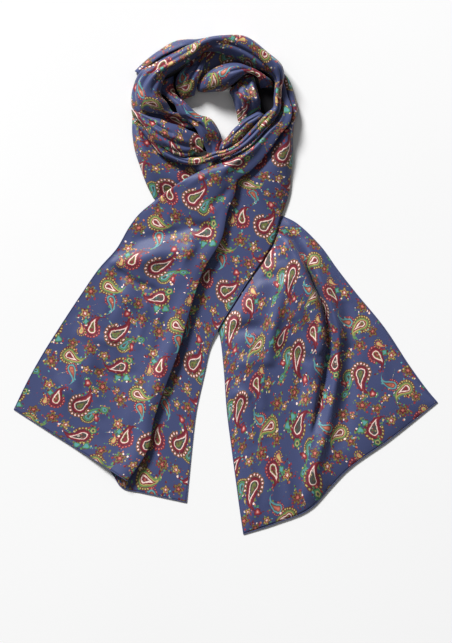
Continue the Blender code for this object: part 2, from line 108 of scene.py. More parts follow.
# Band down the left of the neck opening, from under the main loop to under the front
INNER_LEFT = (
    (-64, 262, -84, 252, 8, 13, 12, 0.7),
    (-64, 249, -82, 241, 8, 17, 14, 0.7),
    (-62, 241, -75, 236, 11, 20, 15.5, 0.6),
    (-58, 235, -69, 230, 15, 21.5, 17, 0.5),
    (-50, 229, -62, 224, 17, 24, 18.5, 0.55),
    (-43, 222, -57.5, 213, 18, 25, 17, 0.45),
    (-33, 213, -46, 205, 17, 24, 17, 0.45),
    (-18, 208, -36, 195, 14, 23, 18.5, 0.5),
    (-8, 195, -30, 183, 11, 20, 17, 0.5),
    (-3, 181, -23, 169, 9, 12.5, 11, 0.5),
    (-2, 168, -20, 158, 8, 10, 8, 0.5),
)
# Pouch of cloth inside the front of the main loop, on the left
FRONT_FOLD = (
    (-117, 219, -115, 209, 13, 16, 12, 0.5),
    (-106, 215, -107, 205, 17, 20, 15.5, 0.5),
    (-94, 210, -98, 193, 19, 23, 18, 0.4),
    (-81, 207, -89, 180, 20, 25, 18, 0.35),
    (-69, 202, -75, 171, 20, 26, 18, 0.35),
    (-55, 198, -60, 162, 17, 23.5, 18, 0.4),
    (-45, 193, -47, 160, 14.5, 19.5, 16.5, 0.5),
    (-35, 189, -36, 164, 10.5, 13.8, 10.5, 0.5),
    (-25, 182, -27, 166, 8, 10, 8, 0.5),
)
# Inner band along the front of the neck opening
INNER_FRONT = (
    (-4, 178, -7, 167, 14, 16, 14, 0.5),
    (2, 183, 2, 169, 13, 19, 14, 0.4),
    (9, 192, 15, 176, 13, 20, 14, 0.4),
    (17, 200, 27, 187, 14, 21, 14, 0.4),
    (25, 207, 36, 197, 15, 22, 14, 0.4),
    (34, 212, 45, 205, 16.5, 21, 14, 0.4),
    (43, 217, 51, 212, 15, 17, 13, 0.5),
)
# Band up the right of the neck opening, with its ridge on the far side
INNER_RIGHT = (
    (27, 262, 36, 263, 14, 16, 14, 0.6),
    (16, 252, 39, 253, 14, 21, 13, 0.75),
    (7, 243, 42, 242, 12, 27, 9, 0.8),
    (11, 232, 45, 231, 10, 29, 9, 0.8),
    (14, 221, 45, 226, 9, 22, 9, 0.8),
    (16, 212, 45, 218, 8.2, 13, 8.2, 0.7),
    (18, 203, 42, 209, 8.2, 8.8, 8.2, 0.5),
    (23, 196, 38, 203, 8.2, 8.8, 8.2, 0.5),
)
# Lit band over the top of the neck opening
INNER_TOP = (
    (-33, 242, -37, 254, 8, 10, 8, 0.5),
    (-25, 241, -25, 262, 11, 22, 15, 0.55),
    (-14, 242, -14, 270, 11, 31, 19, 0.6),
    (-1, 243, 1, 276, 12, 34, 20, 0.6),
    (13, 253, 17, 277, 20, 34, 21, 0.55),
    (28, 264, 30, 273, 25, 31, 22, 0.5),
    (38, 262, 41, 268, 24, 28, 21, 0.5),
    (43, 256, 52, 261, 20, 25, 18, 0.5),
    (44, 250, 60, 254, 13, 18, 12, 0.5),
    (45, 246, 60, 248, 8, 10.5, 8, 0.5),
)
# Twisted fold that drops from under the main loop to the neck opening, with its ridge on the right
TWISTED_FOLD = (
    (-20, 296, -42, 284, 8, 10.5, 8, 0.4),
    (-22, 286, -48, 274, 11, 14, 10, 0.3),
    (-26, 276, -54, 268, 15, 22, 12, 0.2),
    (-29, 265, -59, 261, 17, 23, 13, 0.22),
    (-34, 252, -61, 249, 15, 20, 13, 0.3),
    (-36, 243, -58, 240, 9.5, 16, 10, 0.4),
    (-38, 237, -54, 231, 7.5, 10, 7.5, 0.5),
)
# Valley between the main loop and the inner top
INNER_VALLEY = (
    (35, 266, 40, 273, 8, 10, 8, 0.5),
    (20, 271, 20, 284, 8, 10, 8, 0.5),
    (-1, 268, 1, 294, 8, 10.5, 8, 0.5),
    (-16, 262, -14, 298, 8, 11, 8, 0.5),
    (-27, 255, -25, 294, 9, 12.5, 8, 0.5),
    (-35, 252, -34, 288, 9, 12, 8, 0.5),
)

# Left tail, from where it passes under the top right of the main loop, down its right side and
# out to the hem: the rolled or hemmed left edge, the edge of the long pleat and the right edge.
LEFT_TAIL = (
    # edge x, y, pleat x, y, right x, y
    (55, 264, 66, 267, 71, 269),
    (64, 252, 75, 252, 82, 256),
    (68, 238, 79, 237, 88, 238),
    (69, 219, 85, 217, 92, 216),
    (61, 207, 81, 201, 88, 202),
    (49, 196, 70, 188, 86, 184),
    (30, 177, 55, 166, 86, 161),
    (6, 163, 35, 144, 84, 139),
    (-23, 146, 17, 131, 81, 113),
    (-49, 132, 13, 113, 70, 81),
    (-71, 118, 4, 91, 61, 53),
    (-91, 102, -3, 58, 47, 28),
    (-109, 86, -17, 33, 27, 0),
    (-120, 71, -26, 18, 12, -24),
    (-135, 45, -36, -9, -3, -48),
    (-157, 20, -46, -43, -17, -75),
    (-182, -16, -59, -88, -26, -115),
    (-207, -54, -75, -131, -36, -161),
    (-229, -89, -88, -168, -41, -203),
    (-249, -125, -98, -212, -45, -244),
    (-265, -158, -122, -248, -48, -275),
)
# Points across the visible panel, from the left edge's turn to the long pleat's upper layer:
# share of the way, share of the rise where the edge lies flat, and more rise where it is rolled
PANEL_POINTS = ((0.12, 0.15, 0.4), (0.35, 0.6, 0.15), (0.68, 1, 0))
# Points across the strip beside the pleat: share of the way, and the shares that the hidden fold,
# the strip and the right edge have in the height
STRIP_POINTS = ((0, 0.7, 0.3, 0), (0.3, 0, 1, 0), (0.65, 0, 1, 0), (0.9, 0, 0.5, 0.5), (1, 0, 0, 1))
# Its heights by the number of the section above, then how deep the pleat goes under, how far the
# left edge is rolled (1) or flat (0), and how far the strip has slipped down
LEFT_TAIL_HEIGHTS = (
    # section, edge, panel, pleat, hidden, strip, right, depth, roll, slip
    (0, 8, 9, 8.5, 3.2, 5, 3.2, 3, 0, 0),
    (1, 8.5, 10, 10.5, 4.5, 7, 3.2, 3, 0, 0),
    (2, 9, 12, 12.5, 6, 9.5, 3, 4, 0, 0),
    (3, 9, 18, 17, 8, 12, 3, 5, 0, 0),
    (5, 9, 24, 21, 9, 15, 3, 7, 0, 0),
    (7, 9, 24, 18, 9, 14, 3, 12, 0, 0),
    (8, 12, 22, 16, 8, 12, 3, 11, 0.8, 0),
    (9, 12, 17, 13, 6, 8, 3.2, 8, 1, 0),
    (11, 4.5, 10, 11, 4.5, 6, 3.5, 14, 0.3, 0),
    (14, 0.75, 5, 9, 4, 5, 3.2, 24, 0, 0),
    (16, 0.75, 2.5, 5.8, 0.9, 2, 0.75, 28, 0, 0),
    (20, 0.75, 2, 5.5, 0.75, 1.5, 0.75, 30, 0, 11),
)

# Right tail, from the left of the loop, under the left tail and out to the hem
RIGHT_TAIL = (
    # left x, y, right x, y, left z, crest z, valley z, right z, crest place, valley place
    (-116, 210, -103, 203, 2.5, 3, 3, 3, 0.3, 0.6),
    (-116, 189, -80, 183, 2.5, 9, 3.5, 3, 0.25, 0.6),
    (-113, 169, -57, 168, 2.5, 13, 4.5, 3, 0.22, 0.48),
    (-106, 147, -21, 160, 2.5, 13, 4.5, 3, 0.2, 0.44),
    (-98, 125, 10, 152, 2, 10, 4, 2.5, 0.22, 0.46),
    (-89, 107, 30, 135, 1.2, 3.5, 2.5, 1.5, 0.25, 0.5),
    (-71, 66, 45, 108, 0.75, 1.2, 1.2, 1, 0.3, 0.6),
    (-46, 18, 66, 89, 0.75, 1, 1, 0.75, 0.3, 0.6),
    (-23, -24, 91, 76, 0.75, 1, 1, 0.75, 0.3, 0.6),
    (-6, -64, 122, 46, 0.75, 2.5, 2, 0.75, 0.3, 0.7),
    (-1, -102, 140, 21, 0.75, 3, 2, 0.75, 0.3, 0.7),
    (3, -156, 164, -10, 0.75, 3, 2, 0.75, 0.3, 0.7),
    (9, -205, 201, -55, 0.75, 2.5, 2, 0.75, 0.3, 0.7),
    (15, -250, 234, -105, 0.75, 2, 1.5, 0.75, 0.3, 0.7),
    (20, -287, 256, -135, 0.75, 1.5, 1.5, 0.75, 0.3, 0.7),
    (24, -315, 268, -149, 0.75, 1.5, 1.5, 0.75, 0.3, 0.7),
)
# How far the right tail's hem bows out past the line between its corners: place across, bow
HEM_BOW = ((0, 0), (0.15, 12), (0.33, 21), (0.42, 14), (0.5, 8), (0.75, 5), (1, 0))
HEM_BOW_SECTIONS = 4
# How far toward the right tail's crest its steep rise lies, and the share of the height there
CREST_RISE_PLACE = 0.45
CREST_RISE_SHARE = 0.8
# Soft ridges of the tails: height, half width and the line in plan, and how sharply ridges and
# creases rise from both ends of their lines
RIDGE_TAPER = 0.8
CREASE_TAPER = 0.5
RIGHT_TAIL_RIDGES = (
    (9, 11, (100, 58), (156, -80)),
    (9, 14, (70, 30), (116, -120)),
    (6, 15, (104, -60), (122, -330)),
    (4, 14, (14, -70), (48, -200)),
    (3, 16, (160, -50), (235, -190)),
)
LEFT_TAIL_RIDGES = (
    (3.5, 18, (-70, 70), (-150, -60)),
    (3, 14, (-20, 100), (-75, -30)),
    (2.5, 16, (-150, -60), (-215, -165)),
    (2.5, 14, (-75, -95), (-125, -190)),
)

# Hidden turns of the loop, one rounded solid round the neck opening, coloured with near-black painted
# shade: direction in degrees, inner radius and outer radius
RING_CENTRE = (-14.0, 219.0)
HIDDEN_LAYERS = (
    (0, 40, 91), (15, 39, 88), (30, 38, 84), (60, 36, 78), (90, 32, 76), (120, 36, 76),
    (150, 44, 86), (180, 39, 88), (205, 35, 66), (225, 29, 56), (250, 25, 51), (270, 25, 54),
    (285, 44, 55), (300, 45, 58), (315, 44, 62), (330, 44, 76),
)
HIDDEN_TOP = 5.0
HIDDEN_LAYER_COUNT = 3
HIDDEN_LAYER_INSET = 0.5
HIDDEN_LAYER_GROOVE = 0.6
# Grooves of one layer's edge: share of its height, and share of the groove's depth
LAYER_EDGE = ((0.15, 0.3), (0.5, 0), (0.85, 0.3), (1, 1))
# Waves round the ring's inner and outer edge, and ripples over its top: how many, and how high
INNER_WAVES, INNER_WAVE = 9, 0.4
OUTER_WAVES, OUTER_WAVE = 7, 0.6
TOP_RIPPLES, TOP_RIPPLE, TOP_SWAY = 26, 0.25, 3
TOP_STEPS = 24

# Columns across a roll, placed among the seven points of its outline
ROLL_PLACES = np.linspace(0, 6, 73)
# Columns across the left tail at which a section's points lie, and those of its panel, of the
# pleat's outer fold, and of the hidden layer, over which the panel's print turns into the strip's
POINT_COLUMNS = np.cumsum((0, 2, 5, 10, 14, 14, 6, 2, 2, 2, 2, 6, 2, 2, 2, 2, 5, 8, 8, 6, 3))
PANEL = slice(2, 51)
PLEAT_COLUMN = 55
HIDDEN_COLUMNS = (59, 78)
# Creases fade at both edges of the panel, by column and share, and within a share of a roll's width
PANEL_FADE = ((0, 0), (3, 1), (41, 1), (48, 0))
ROLL_FADE = 0.12
# Keeps apart points of a section that fall together
LEAST_STEP = 0.01
# Length of one repeat of the print, both ways
REPEAT = 100.0
# How far the long pleat's upper layer stands up and the strip beside it settles: section,
# lift, settling
PLEAT_LIFT = (
    (0, 0, 0), (8, 0.5, 0.5), (12, 2.5, 2.5), (14, 3.5, 3.2), (16, 5, 1),
    (18, 3.6, 0.6), (20, 4.4, 0.6),
)
# How far across the print the long pleat lies: section, distance
PLEAT_PRINT = ((0, 106), (13, 106), (16, 142), (20, 169))
STRIP_PRINT = (277.0, -15.0)
# Print at the right tail's right edge and hem, and at its left edge and hem
RIGHT_PRINT = (0.0, 135.0)
RIGHT_INNER_PRINT = (281.0, 100.0)
# How high the right tail's cloth lies above its table: section, loft. It settles toward its own
# edges and toward the left tail on top of it.
TAIL_LOFT = ((0, 0), (4, 0), (6, 6), (8, 9), (10, 8), (13, 4), (15, 2.5))
EDGE_SETTLES = 10.0
COVER_SETTLES = 9.0
# Crease down the right tail, where the print of its two sides meets
RIGHT_TAIL_CREASE = (
    (78, 60), (92, 33), (101, 11), (110, -10), (119, -27), (125, -48), (127, -83), (119, -140),
    (107, -197), (95, -231), (86, -262), (76, -300),
)
# Least and greatest place across the right tail where that crease may lie
CREASE_PLACES = (0.3, 0.85)
# Deep fold at the upper end of that crease, where its left side laps over its right one:
# section, depth, lap
DEEP_FOLD = ((7, 0, 0), (8, 10, 5), (9, 17, 9.5), (10.5, 16, 9), (12, 7, 4), (13, 0, 0))
# How soon its left and right sides rise from the crease, and how far in the lap begins
FOLD_SIDES = (3.0, 12.0)
LAP_WIDTH = 10.0


def smooth(knots, rows, places):
    """Rows read at the given places from a smooth curve through the table's rows."""
    knots = np.asarray(knots, dtype=float)
    rows = np.asarray(rows, dtype=float)
    tangents = np.gradient(rows, knots, axis=0)
    places = np.clip(places, knots[0], knots[-1])
    index = np.clip(np.searchsorted(knots, places, side="right") - 1, 0, len(knots) - 2)
    step = np.diff(knots)[index][:, None]
    t = (places - knots[index])[:, None] / step
    return (
        rows[index] * (1 + 2 * t) * (1 - t) ** 2
        + tangents[index] * step * t * (1 - t) ** 2
        + rows[index + 1] * t ** 2 * (3 - 2 * t)
        - tangents[index + 1] * step * t ** 2 * (1 - t)
    )


def run_along(points, axis):
    """Distance run over a line or a grid of points, from its first row or column."""
    steps = np.linalg.norm(np.diff(points, axis=axis), axis=-1)
    run = np.cumsum(steps, axis=axis)
    return np.concatenate((np.zeros_like(np.take(run, [0], axis=axis)), run), axis=axis)


def sections_along(table, plan_columns, count):
    """Evenly spaced sections of a table whose first columns are edge points in plan."""
    table = np.asarray(table, dtype=float)
    knots = run_along(table[:, :plan_columns].reshape(len(table), -1, 2).mean(axis=1), 0)
    return smooth(knots, table, np.linspace(0.0, knots[-1], count))


def unit(vectors):
    """Vectors of length 1 in the same directions."""
    return vectors / np.maximum(np.linalg.norm(vectors, axis=-1), 1e-9)[..., None]


def place_on_line(points, start, end):
    """Place in plan of points along a line, from 0 to 1, and how far from it they are."""
    run = end - start
    offset = points[..., :2] - start
    place = np.clip(offset @ run / (run @ run), 0.0, 1.0)
    return place, np.linalg.norm(offset - place[..., None] * run, axis=-1)


def raised(points, lines, taper):
    """Height that ridges and creases add at points in plan: it tapers to both ends of each line."""
    heights = np.zeros(points.shape[:-1])
    for height, half_width, *line in lines:
        line = np.asarray(line, dtype=float)
        runs = run_along(line, 0)
        nearest = np.full(heights.shape, np.inf)
        progress = np.zeros(heights.shape)
        for start, end, before, after in zip(line, line[1:], runs, runs[1:]):
            place, distance = place_on_line(points, start, end)
            closer = distance < nearest
            nearest = np.where(closer, distance, nearest)
            progress = np.where(closer, before + place * (after - before), progress)
        rise = np.sin(np.pi * np.minimum(progress / runs[-1], 1.0)) ** taper
        heights += height * rise * np.exp(-(nearest / half_width) ** 2)
    return heights


def distance_outside(points, outline):
    """Distance in plan from points to an outline, 0 inside it."""
    outline = np.asarray(outline, dtype=float)
    nearest = np.full(points.shape[:-1], np.inf)
    inside = np.zeros(points.shape[:-1], dtype=bool)
    x, y = points[..., 0], points[..., 1]
    for start, end in zip(outline, np.roll(outline, -1, axis=0)):
        nearest = np.minimum(nearest, place_on_line(points, start, end)[1])
        slope = (end[0] - start[0]) / ((end[1] - start[1]) or 1e-9)
        crosses = (start[1] > y) != (end[1] > y)
        inside ^= crosses & (x < start[0] + (y - start[1]) * slope)
    return np.where(inside, 0.0, nearest)


def fold_nose(edge, inward, top):
    """Half circle round a pressed fold's edge, from its upper layer down to its lower one."""
    turn = np.linspace(0.0, np.pi, FOLD_STEPS)[:, None]
    plan = edge + FOLD_RADIUS * (1 - np.sin(turn)) * inward
    return [*np.hstack((plan, top - FOLD_RADIUS * (1 - np.cos(turn))))]


def grid_normals(grid):
    """Direction in which the cloth faces at each point, upward where its middle lies flat."""
    normals = unit(np.cross(*np.gradient(grid, axis=(0, 1))))
    return normals * np.sign(normals[:, grid.shape[1] // 2, 2].mean())


def print_map(u, v):
    """Places in the print, in repeats, from the distances across and along it."""
    return np.stack(np.broadcast_arrays(u, v), axis=-1) / REPEAT


def roll_cloth(table, along, creases):
    """Grid over a soft roll: both edges turn under, and creases run along it."""
    grid = []
    for inner_x, inner_y, outer_x, outer_y, inner_z, crest_z, outer_z, crest in sections_along(
        table, 4, along
    ):
        inner = np.array((inner_x, inner_y))
        outward = np.array((outer_x, outer_y)) - inner
        turn = TURN / np.linalg.norm(outward)
        outline = (
            (turn, max(inner_z - TURN, LOWEST)),
            (0, inner_z),
            (SHOULDER_PLACE * crest, inner_z + SHOULDER_HEIGHT * (crest_z - inner_z)),
            (crest, crest_z),
            (1 - SHOULDER_PLACE * (1 - crest), outer_z + SHOULDER_HEIGHT * (crest_z - outer_z)),
            (1, outer_z),
            (1 - turn, max(outer_z - TURN, LOWEST)),
        )
        points = [(*(inner + place * outward), z) for place, z in outline]
        grid.append(smooth(np.arange(len(points)), points, ROLL_PLACES))
    grid = np.array(grid)
    along_share = np.linspace(0.0, 1.0, along)[:, None]
    across = run_along(grid, 1)
    share = across / across[:, -1:]
    lift = np.zeros(grid.shape[:2])
    for start, end, from_share, to_share, height, half_width in creases:
        progress = np.clip((along_share - start) / (end - start), 0.0, 1.0)
        line = from_share + (to_share - from_share) * progress
        distance = (share - line) * across[:, -1:]
        rise = np.sin(np.pi * progress) ** CREASE_TAPER
        lift += height * rise * np.exp(-(distance / half_width) ** 2)
    lift *= np.clip(np.minimum(share, 1 - share) / ROLL_FADE, 0.0, 1.0)
    grid = grid + grid_normals(grid) * lift[..., None]
    grid[..., 2] = np.maximum(grid[..., 2], LOWEST)
    return grid


def roll_print(grid, place, flow):
    """Print over a roll, from its crest line outward and along it."""
    middle = grid.shape[1] // 2
    across = run_along(grid, 1)
    along = run_along(grid[:, middle], 0)[:, None]
    return print_map(place[0] + across - across[:, middle:middle + 1], place[1] + flow * along)


def left_tail_cloth(along):
    """Grid over the left tail and its print: the panel, the pleat's hidden layer and the strip."""
    heights = np.asarray(LEFT_TAIL_HEIGHTS, dtype=float)
    numbers = np.arange(len(LEFT_TAIL), dtype=float)
    table = np.hstack((LEFT_TAIL, smooth(heights[:, 0], heights[:, 1:], numbers), numbers[:, None]))
    sections = sections_along(table, 6, along)
    lift_numbers, lifts, settlings = np.transpose(PLEAT_LIFT)
    grid = []
    for section, down in zip(sections, unit(np.gradient(sections[:, 2:4], axis=0))):
        edge, pleat, right = section[:6].reshape(3, 2)
        edge_z, panel_z, pleat_z, hidden_z, strip_z, right_z, depth, roll, slip, number = section[6:]
        pleat_z += np.interp(number, lift_numbers, lifts)
        strip_z = max(strip_z - np.interp(number, lift_numbers, settlings), LOWEST)
        outward = unit(pleat - edge)
        turn = outward * TURN
        reach = pleat - edge - outward * (depth + 2 * TURN)
        points = [
            (*(edge + turn * roll), edge_z - TURN * roll),
            (*(edge + turn * (1 - roll)), edge_z),
        ]
        for way, share, rolled_share in PANEL_POINTS:
            z = edge_z + (share + rolled_share * roll) * (panel_z - edge_z)
            points.append((*(edge + turn + reach * way), z))
        over_fold_z = max(hidden_z + 2 * LAYER_STEP, (panel_z + pleat_z) / 2)
        points.append((*(edge + turn + reach), over_fold_z))
        points += fold_nose(pleat, -outward, pleat_z)
        points += fold_nose(pleat - outward * depth, outward, hidden_z + LAYER_STEP)
        strip_start = pleat + down * slip
        for way, *shares in STRIP_POINTS:
            z = np.dot(shares, (hidden_z, strip_z, right_z))
            points.append((*(strip_start + way * (right - strip_start)), z))
        points = np.array(points)
        knots = run_along(points, 0) + LEAST_STEP * np.arange(len(points))
        places = np.interp(np.arange(POINT_COLUMNS[-1] + 1), POINT_COLUMNS, knots)
        grid.append(smooth(knots, points, places))
    grid = np.array(grid)
    panel = grid[:, PANEL]
    panel[..., 2] += raised(panel, LEFT_TAIL_RIDGES, RIDGE_TAPER)
    fade = np.interp(np.arange(panel.shape[1]), *np.transpose(PANEL_FADE))
    panel[..., 2] += raised(panel, LEFT_TAIL_CREASES, CREASE_TAPER) * fade
    grid[..., 2] = np.maximum(grid[..., 2], LOWEST)
    across = run_along(grid, 1)
    panel_run = run_along((sections[:, 0:2] + sections[:, 2:4]) / 2, 0)
    strip_run = run_along(sections[:, 4:6], 0)
    pleat_print = np.interp(sections[:, -1], *np.transpose(PLEAT_PRINT))
    blend = np.interp(np.arange(grid.shape[1]), HIDDEN_COLUMNS, (0.0, 1.0))
    u = (pleat_print[:, None] + across - across[:, PLEAT_COLUMN:PLEAT_COLUMN + 1]) * (1 - blend)
    u += (STRIP_PRINT[0] + across - across[:, -1:]) * blend
    v = (panel_run[-1] - panel_run)[:, None] * (1 - blend)
    v += (STRIP_PRINT[1] + strip_run[-1] - strip_run)[:, None] * blend
    return grid, print_map(u, v)


def crossing_places(sections, line):
    """Place across each section where a line in plan crosses it."""
    places = []
    for section in sections:
        left, right = section[:4].reshape(2, 2)
        run = right - left
        offsets = line - left
        beyond = offsets @ (-run[1], run[0])
        order = np.argsort(beyond)
        places.append(np.interp(0.0, beyond[order], (offsets @ run / (run @ run))[order]))
    return np.clip(places, *CREASE_PLACES)


def right_tail_cloth(along, left_columns, right_columns):
    """Grid over the right tail and the print of its two sides, which meet at a crease."""
    sections = sections_along(np.column_stack((RIGHT_TAIL, np.arange(len(RIGHT_TAIL)))), 4, along)
    lengthwise = unit(np.gradient(sections[:, 0:2] + sections[:, 2:4], axis=0))
    creases = crossing_places(sections, RIGHT_TAIL_CREASE)
    bow_places, bows = np.transpose(HEM_BOW)
    bow_start = 1 - HEM_BOW_SECTIONS / len(RIGHT_TAIL)
    grid = []
    for row, (section, crease_place) in enumerate(zip(sections, creases)):
        left, right = section[:4].reshape(2, 2)
        left_z, crest_z, valley_z, right_z, crest, valley = section[4:10]
        places = np.concatenate((
            np.linspace(0.0, crease_place, left_columns),
            np.linspace(crease_place, 1.0, right_columns)[1:],
        ))
        knots = (0.0, crest * CREST_RISE_PLACE, crest, (crest + valley) / 2, valley, 1.0)
        rise_z = left_z + CREST_RISE_SHARE * (crest_z - left_z)
        levels = (left_z, rise_z, crest_z, (crest_z + valley_z) / 2, valley_z, right_z)
        z = smooth(knots, [[level] for level in levels], places)
        bow = smooth(bow_places, bows[:, None], places)
        share = max(0.0, (row / (along - 1) - bow_start) / (1 - bow_start))
        plan = left + places[:, None] * (right - left) + lengthwise[row] * bow * share ** 2
        grid.append(np.hstack((plan, np.maximum(z, LOWEST))))
    grid = np.array(grid)
    across = run_along(grid, 1)
    from_crease = across - across[:, left_columns - 1:left_columns]
    from_top = run_along(grid, 0)
    edge_distance = np.minimum(np.minimum(across, across[:, -1:] - across), from_top[-1:] - from_top)
    settled = 1 - np.exp(-edge_distance / EDGE_SETTLES)
    cover = [row[0:2] for row in LEFT_TAIL] + [row[4:6] for row in reversed(LEFT_TAIL)]
    settled *= 1 - np.exp(-(distance_outside(grid, cover) / COVER_SETTLES) ** 2)
    numbers, depths, laps = np.transpose(DEEP_FOLD)
    number = sections[:, 10:]
    depth = np.interp(number, numbers, depths)
    lap = np.interp(number, numbers, laps)
    loft = np.interp(number, *np.transpose(TAIL_LOFT))
    folds = raised(grid, RIGHT_TAIL_RIDGES, RIDGE_TAPER) + raised(grid, RIGHT_TAIL_CREASES, CREASE_TAPER)
    folds -= depth * np.exp(-(from_crease / np.where(from_crease < 0, *FOLD_SIDES)) ** 2)
    grid[..., 2] = np.maximum(grid[..., 2] + (loft + folds) * settled, LOWEST)
    lap = lap * settled * np.exp(-(from_crease / LAP_WIDTH) ** 2) * (from_crease < 0)
    grid[..., :2] += lap[..., None] * unit(sections[:, 2:4] - sections[:, 0:2])[:, None]
    across = run_along(grid, 1)
    left_run = run_along(grid[:, 0], 0)[:, None]
    right_run = run_along(grid[:, -1], 0)[:, None]
    u, v = RIGHT_INNER_PRINT
    inner = print_map(u - across, v + left_run - left_run[-1])
    u, v = RIGHT_PRINT
    outer = print_map(u + across[:, -1:] - across, v + right_run - right_run[-1])
    return grid, inner, outer


def new_object(name, contents):
    """Object in the scene for a mesh, a lamp or a camera."""
    placed = bpy.data.objects.new(name, contents)
    bpy.context.scene.collection.objects.link(placed)
    return placed


def new_piece(name, points, faces=(), edges=(), material=None):
    """Object over points given in the frame of the tables."""
    mesh = bpy.data.meshes.new(name)
    mesh.from_pydata(((np.asarray(points) - PLAN_CENTRE) * MM).tolist(), edges, faces)
    if material:
        mesh.materials.append(material)
        mesh.shade_smooth()
    return new_object(name, mesh)


def grid_piece(name, grid, prints, material):
    """Shell over a grid, with the print's place at each corner: one for each group of columns."""
    corner = np.arange(grid[..., 0].size).reshape(grid.shape[:2])
    faces = np.stack((corner[:-1, :-1], corner[1:, :-1], corner[1:, 1:], corner[:-1, 1:]), axis=-1)
    middle = grid.shape[1] // 2
    facing = np.cross(grid[1, middle] - grid[0, middle], grid[0, middle + 1] - grid[0, middle])
    if grid_normals(grid)[0, middle] @ facing < 0:
        faces = faces[..., ::-1]
    piece = new_piece(name, grid.reshape(-1, 3), faces.reshape(-1, 4).tolist(), material=material)
    places = np.zeros((*faces.shape, 2))
    for start, coordinates in prints:
        places[:, start:] = coordinates.reshape(-1, 2)[faces[:, start:]]
    piece.data.uv_layers.new(name="print").data.foreach_set("uv", places.reshape(-1))
    wall = piece.modifiers.new("Cloth", "SOLIDIFY")
    wall.thickness = SILK_THICKNESS * MM
    wall.offset = 0.0
    return piece


def colour_from_steps(*steps):
    """Linear colour from its 8-bit steps: a dye of the print, or the painted shade of the hidden turns."""
    return (*Color([step / 255 for step in steps]).from_srgb_to_scene_linear(), 1.0)


def toned(colour, share):
    """A colour with a share of its light."""
    return (*(share * part for part in colour[:3]), 1.0)


NAVY = colour_from_steps(65, 73, 112)
SHADE = colour_from_steps(72, 74, 70)
RED = colour_from_steps(148, 50, 60)
DARK_RED = colour_from_steps(104, 34, 48)
PINK = colour_from_steps(214, 120, 112)
CREAM = colour_from_steps(248, 222, 210)
YELLOW = colour_from_steps(200, 178, 112)
OLIVE = colour_from_steps(118, 124, 62)
GREEN = colour_from_steps(88, 142, 88)
DARK_GREEN = colour_from_steps(44, 88, 74)
TEAL = colour_from_steps(92, 156, 160)
ORANGE = colour_from_steps(194, 114, 90)

# Bands of colour of the small motifs, from the middle (0) to the outline (1)
FLOWER = (
    (0, CREAM), (0.16, CREAM), (0.28, RED), (0.5, RED), (0.6, YELLOW), (0.74, OLIVE), (0.9, DARK_RED),
)
DULL_FLOWER = (
    (0, PINK), (0.2, ORANGE), (0.32, DARK_RED), (0.55, DARK_RED), (0.66, OLIVE), (0.92, DARK_RED),
)
BUD = ((0, CREAM), (0.3, PINK), (0.6, RED), (0.95, DARK_RED))
TEAL_DOT = ((0, TEAL), (0.5, TEAL), (0.7, GREEN), (0.95, DARK_GREEN))
GREEN_RING = ((0, SHADE), (0.3, SHADE), (0.45, YELLOW), (0.65, GREEN), (0.95, DARK_GREEN))
LEAF = (
    (0, SHADE), (0.2, SHADE), (0.32, TEAL), (0.5, TEAL), (0.62, SHADE), (0.72, GREEN), (0.86, GREEN),
    (0.95, DARK_GREEN),
)
CREAM_BEAD = ((0, CREAM), (0.34, CREAM), (0.5, RED), (0.75, DARK_RED), (0.95, OLIVE))
OLIVE_BEAD = ((0, YELLOW), (0.3, YELLOW), (0.5, OLIVE), (0.75, DARK_RED), (0.95, DARK_RED))
RED_BEAD = ((0, CREAM), (0.2, PINK), (0.5, RED), (0.95, DARK_RED))
# Bands of colour of the drops
DROP_RIM = ((0.53, CREAM), (0.59, CREAM), (0.64, RED), (0.86, DARK_RED), (1, DARK_RED))
LARGE_DROP = ((0, SHADE), (0.2, OLIVE), (0.36, SHADE), (0.49, SHADE), *DROP_RIM)
HANGING_DROP = ((0, SHADE), (0.48, SHADE), *DROP_RIM)
LYING_DROP = (
    (0, RED), (0.26, DARK_RED), (0.38, CREAM), (0.47, CREAM), (0.52, RED), (0.62, DARK_RED),
    (0.72, YELLOW), (0.82, OLIVE), (0.92, GREEN), (1, OLIVE),
)
UPRIGHT_DROP = (
    (0, RED), (0.25, DARK_RED), (0.42, OLIVE), (0.51, CREAM), (0.57, CREAM), (0.63, RED),
    (0.86, DARK_RED), (1, DARK_RED),
)
SMALL_DROP = ((0, PINK), (0.3, ORANGE), (0.62, DARK_RED), (0.72, TEAL), (0.95, TEAL))
CRESCENT = ((0, YELLOW), (0.5, YELLOW), (0.7, ORANGE), (0.95, DARK_RED))


def feed(tree, node, inputs):
    """Each input of a node set to a value or joined to another node's result."""
    for socket, value in inputs:
        if isinstance(value, bpy.types.NodeSocket):
            tree.links.new(value, node.inputs[socket])
        else:
            node.inputs[socket].default_value = value


def put(tree, kind, inputs=(), **settings):
    """New node with its settings and its inputs."""
    node = tree.nodes.new(kind)
    for name, value in settings.items():
        setattr(node, name, value)
    feed(tree, node, inputs)
    return node


def reckon(tree, operation, *values):
    return put(tree, "ShaderNodeMath", enumerate(values), operation=operation).outputs[0]


def vector(tree, operation, *values):
    return put(tree, "ShaderNodeVectorMath", enumerate(values), operation=operation).outputs[0]


def ramp(tree, value, stops):
    """Results of a ramp through colours, each given with its place."""
    node = put(tree, "ShaderNodeValToRGB", ((0, value),))
    elements = node.color_ramp.elements
    for element, stop in zip(elements, (stops[0], stops[-1])):
        element.position, element.color = stop
    for place, colour in stops[1:-1]:
        elements.new(place).color = colour
    return node.outputs


def clouded(tree, place, scale, detail, low, high):
    """Colour that drifts between two others in soft clouds."""
    cloud = put(tree, "ShaderNodeTexNoise", (("Vector", place), ("Scale", scale), ("Detail", detail)))
    return ramp(tree, cloud.outputs[0], ((0, low), (1, high)))["Color"]


# Sizes of a drop and of a flower, in repeats and radians
SIZES = {
    "boteh": ("Turn", "Bulb", "Point", "Curl", "Ring", "Beads", "Bead"),
    "rosette": ("Turn", "Radius", "Petals", "Notch"),
}


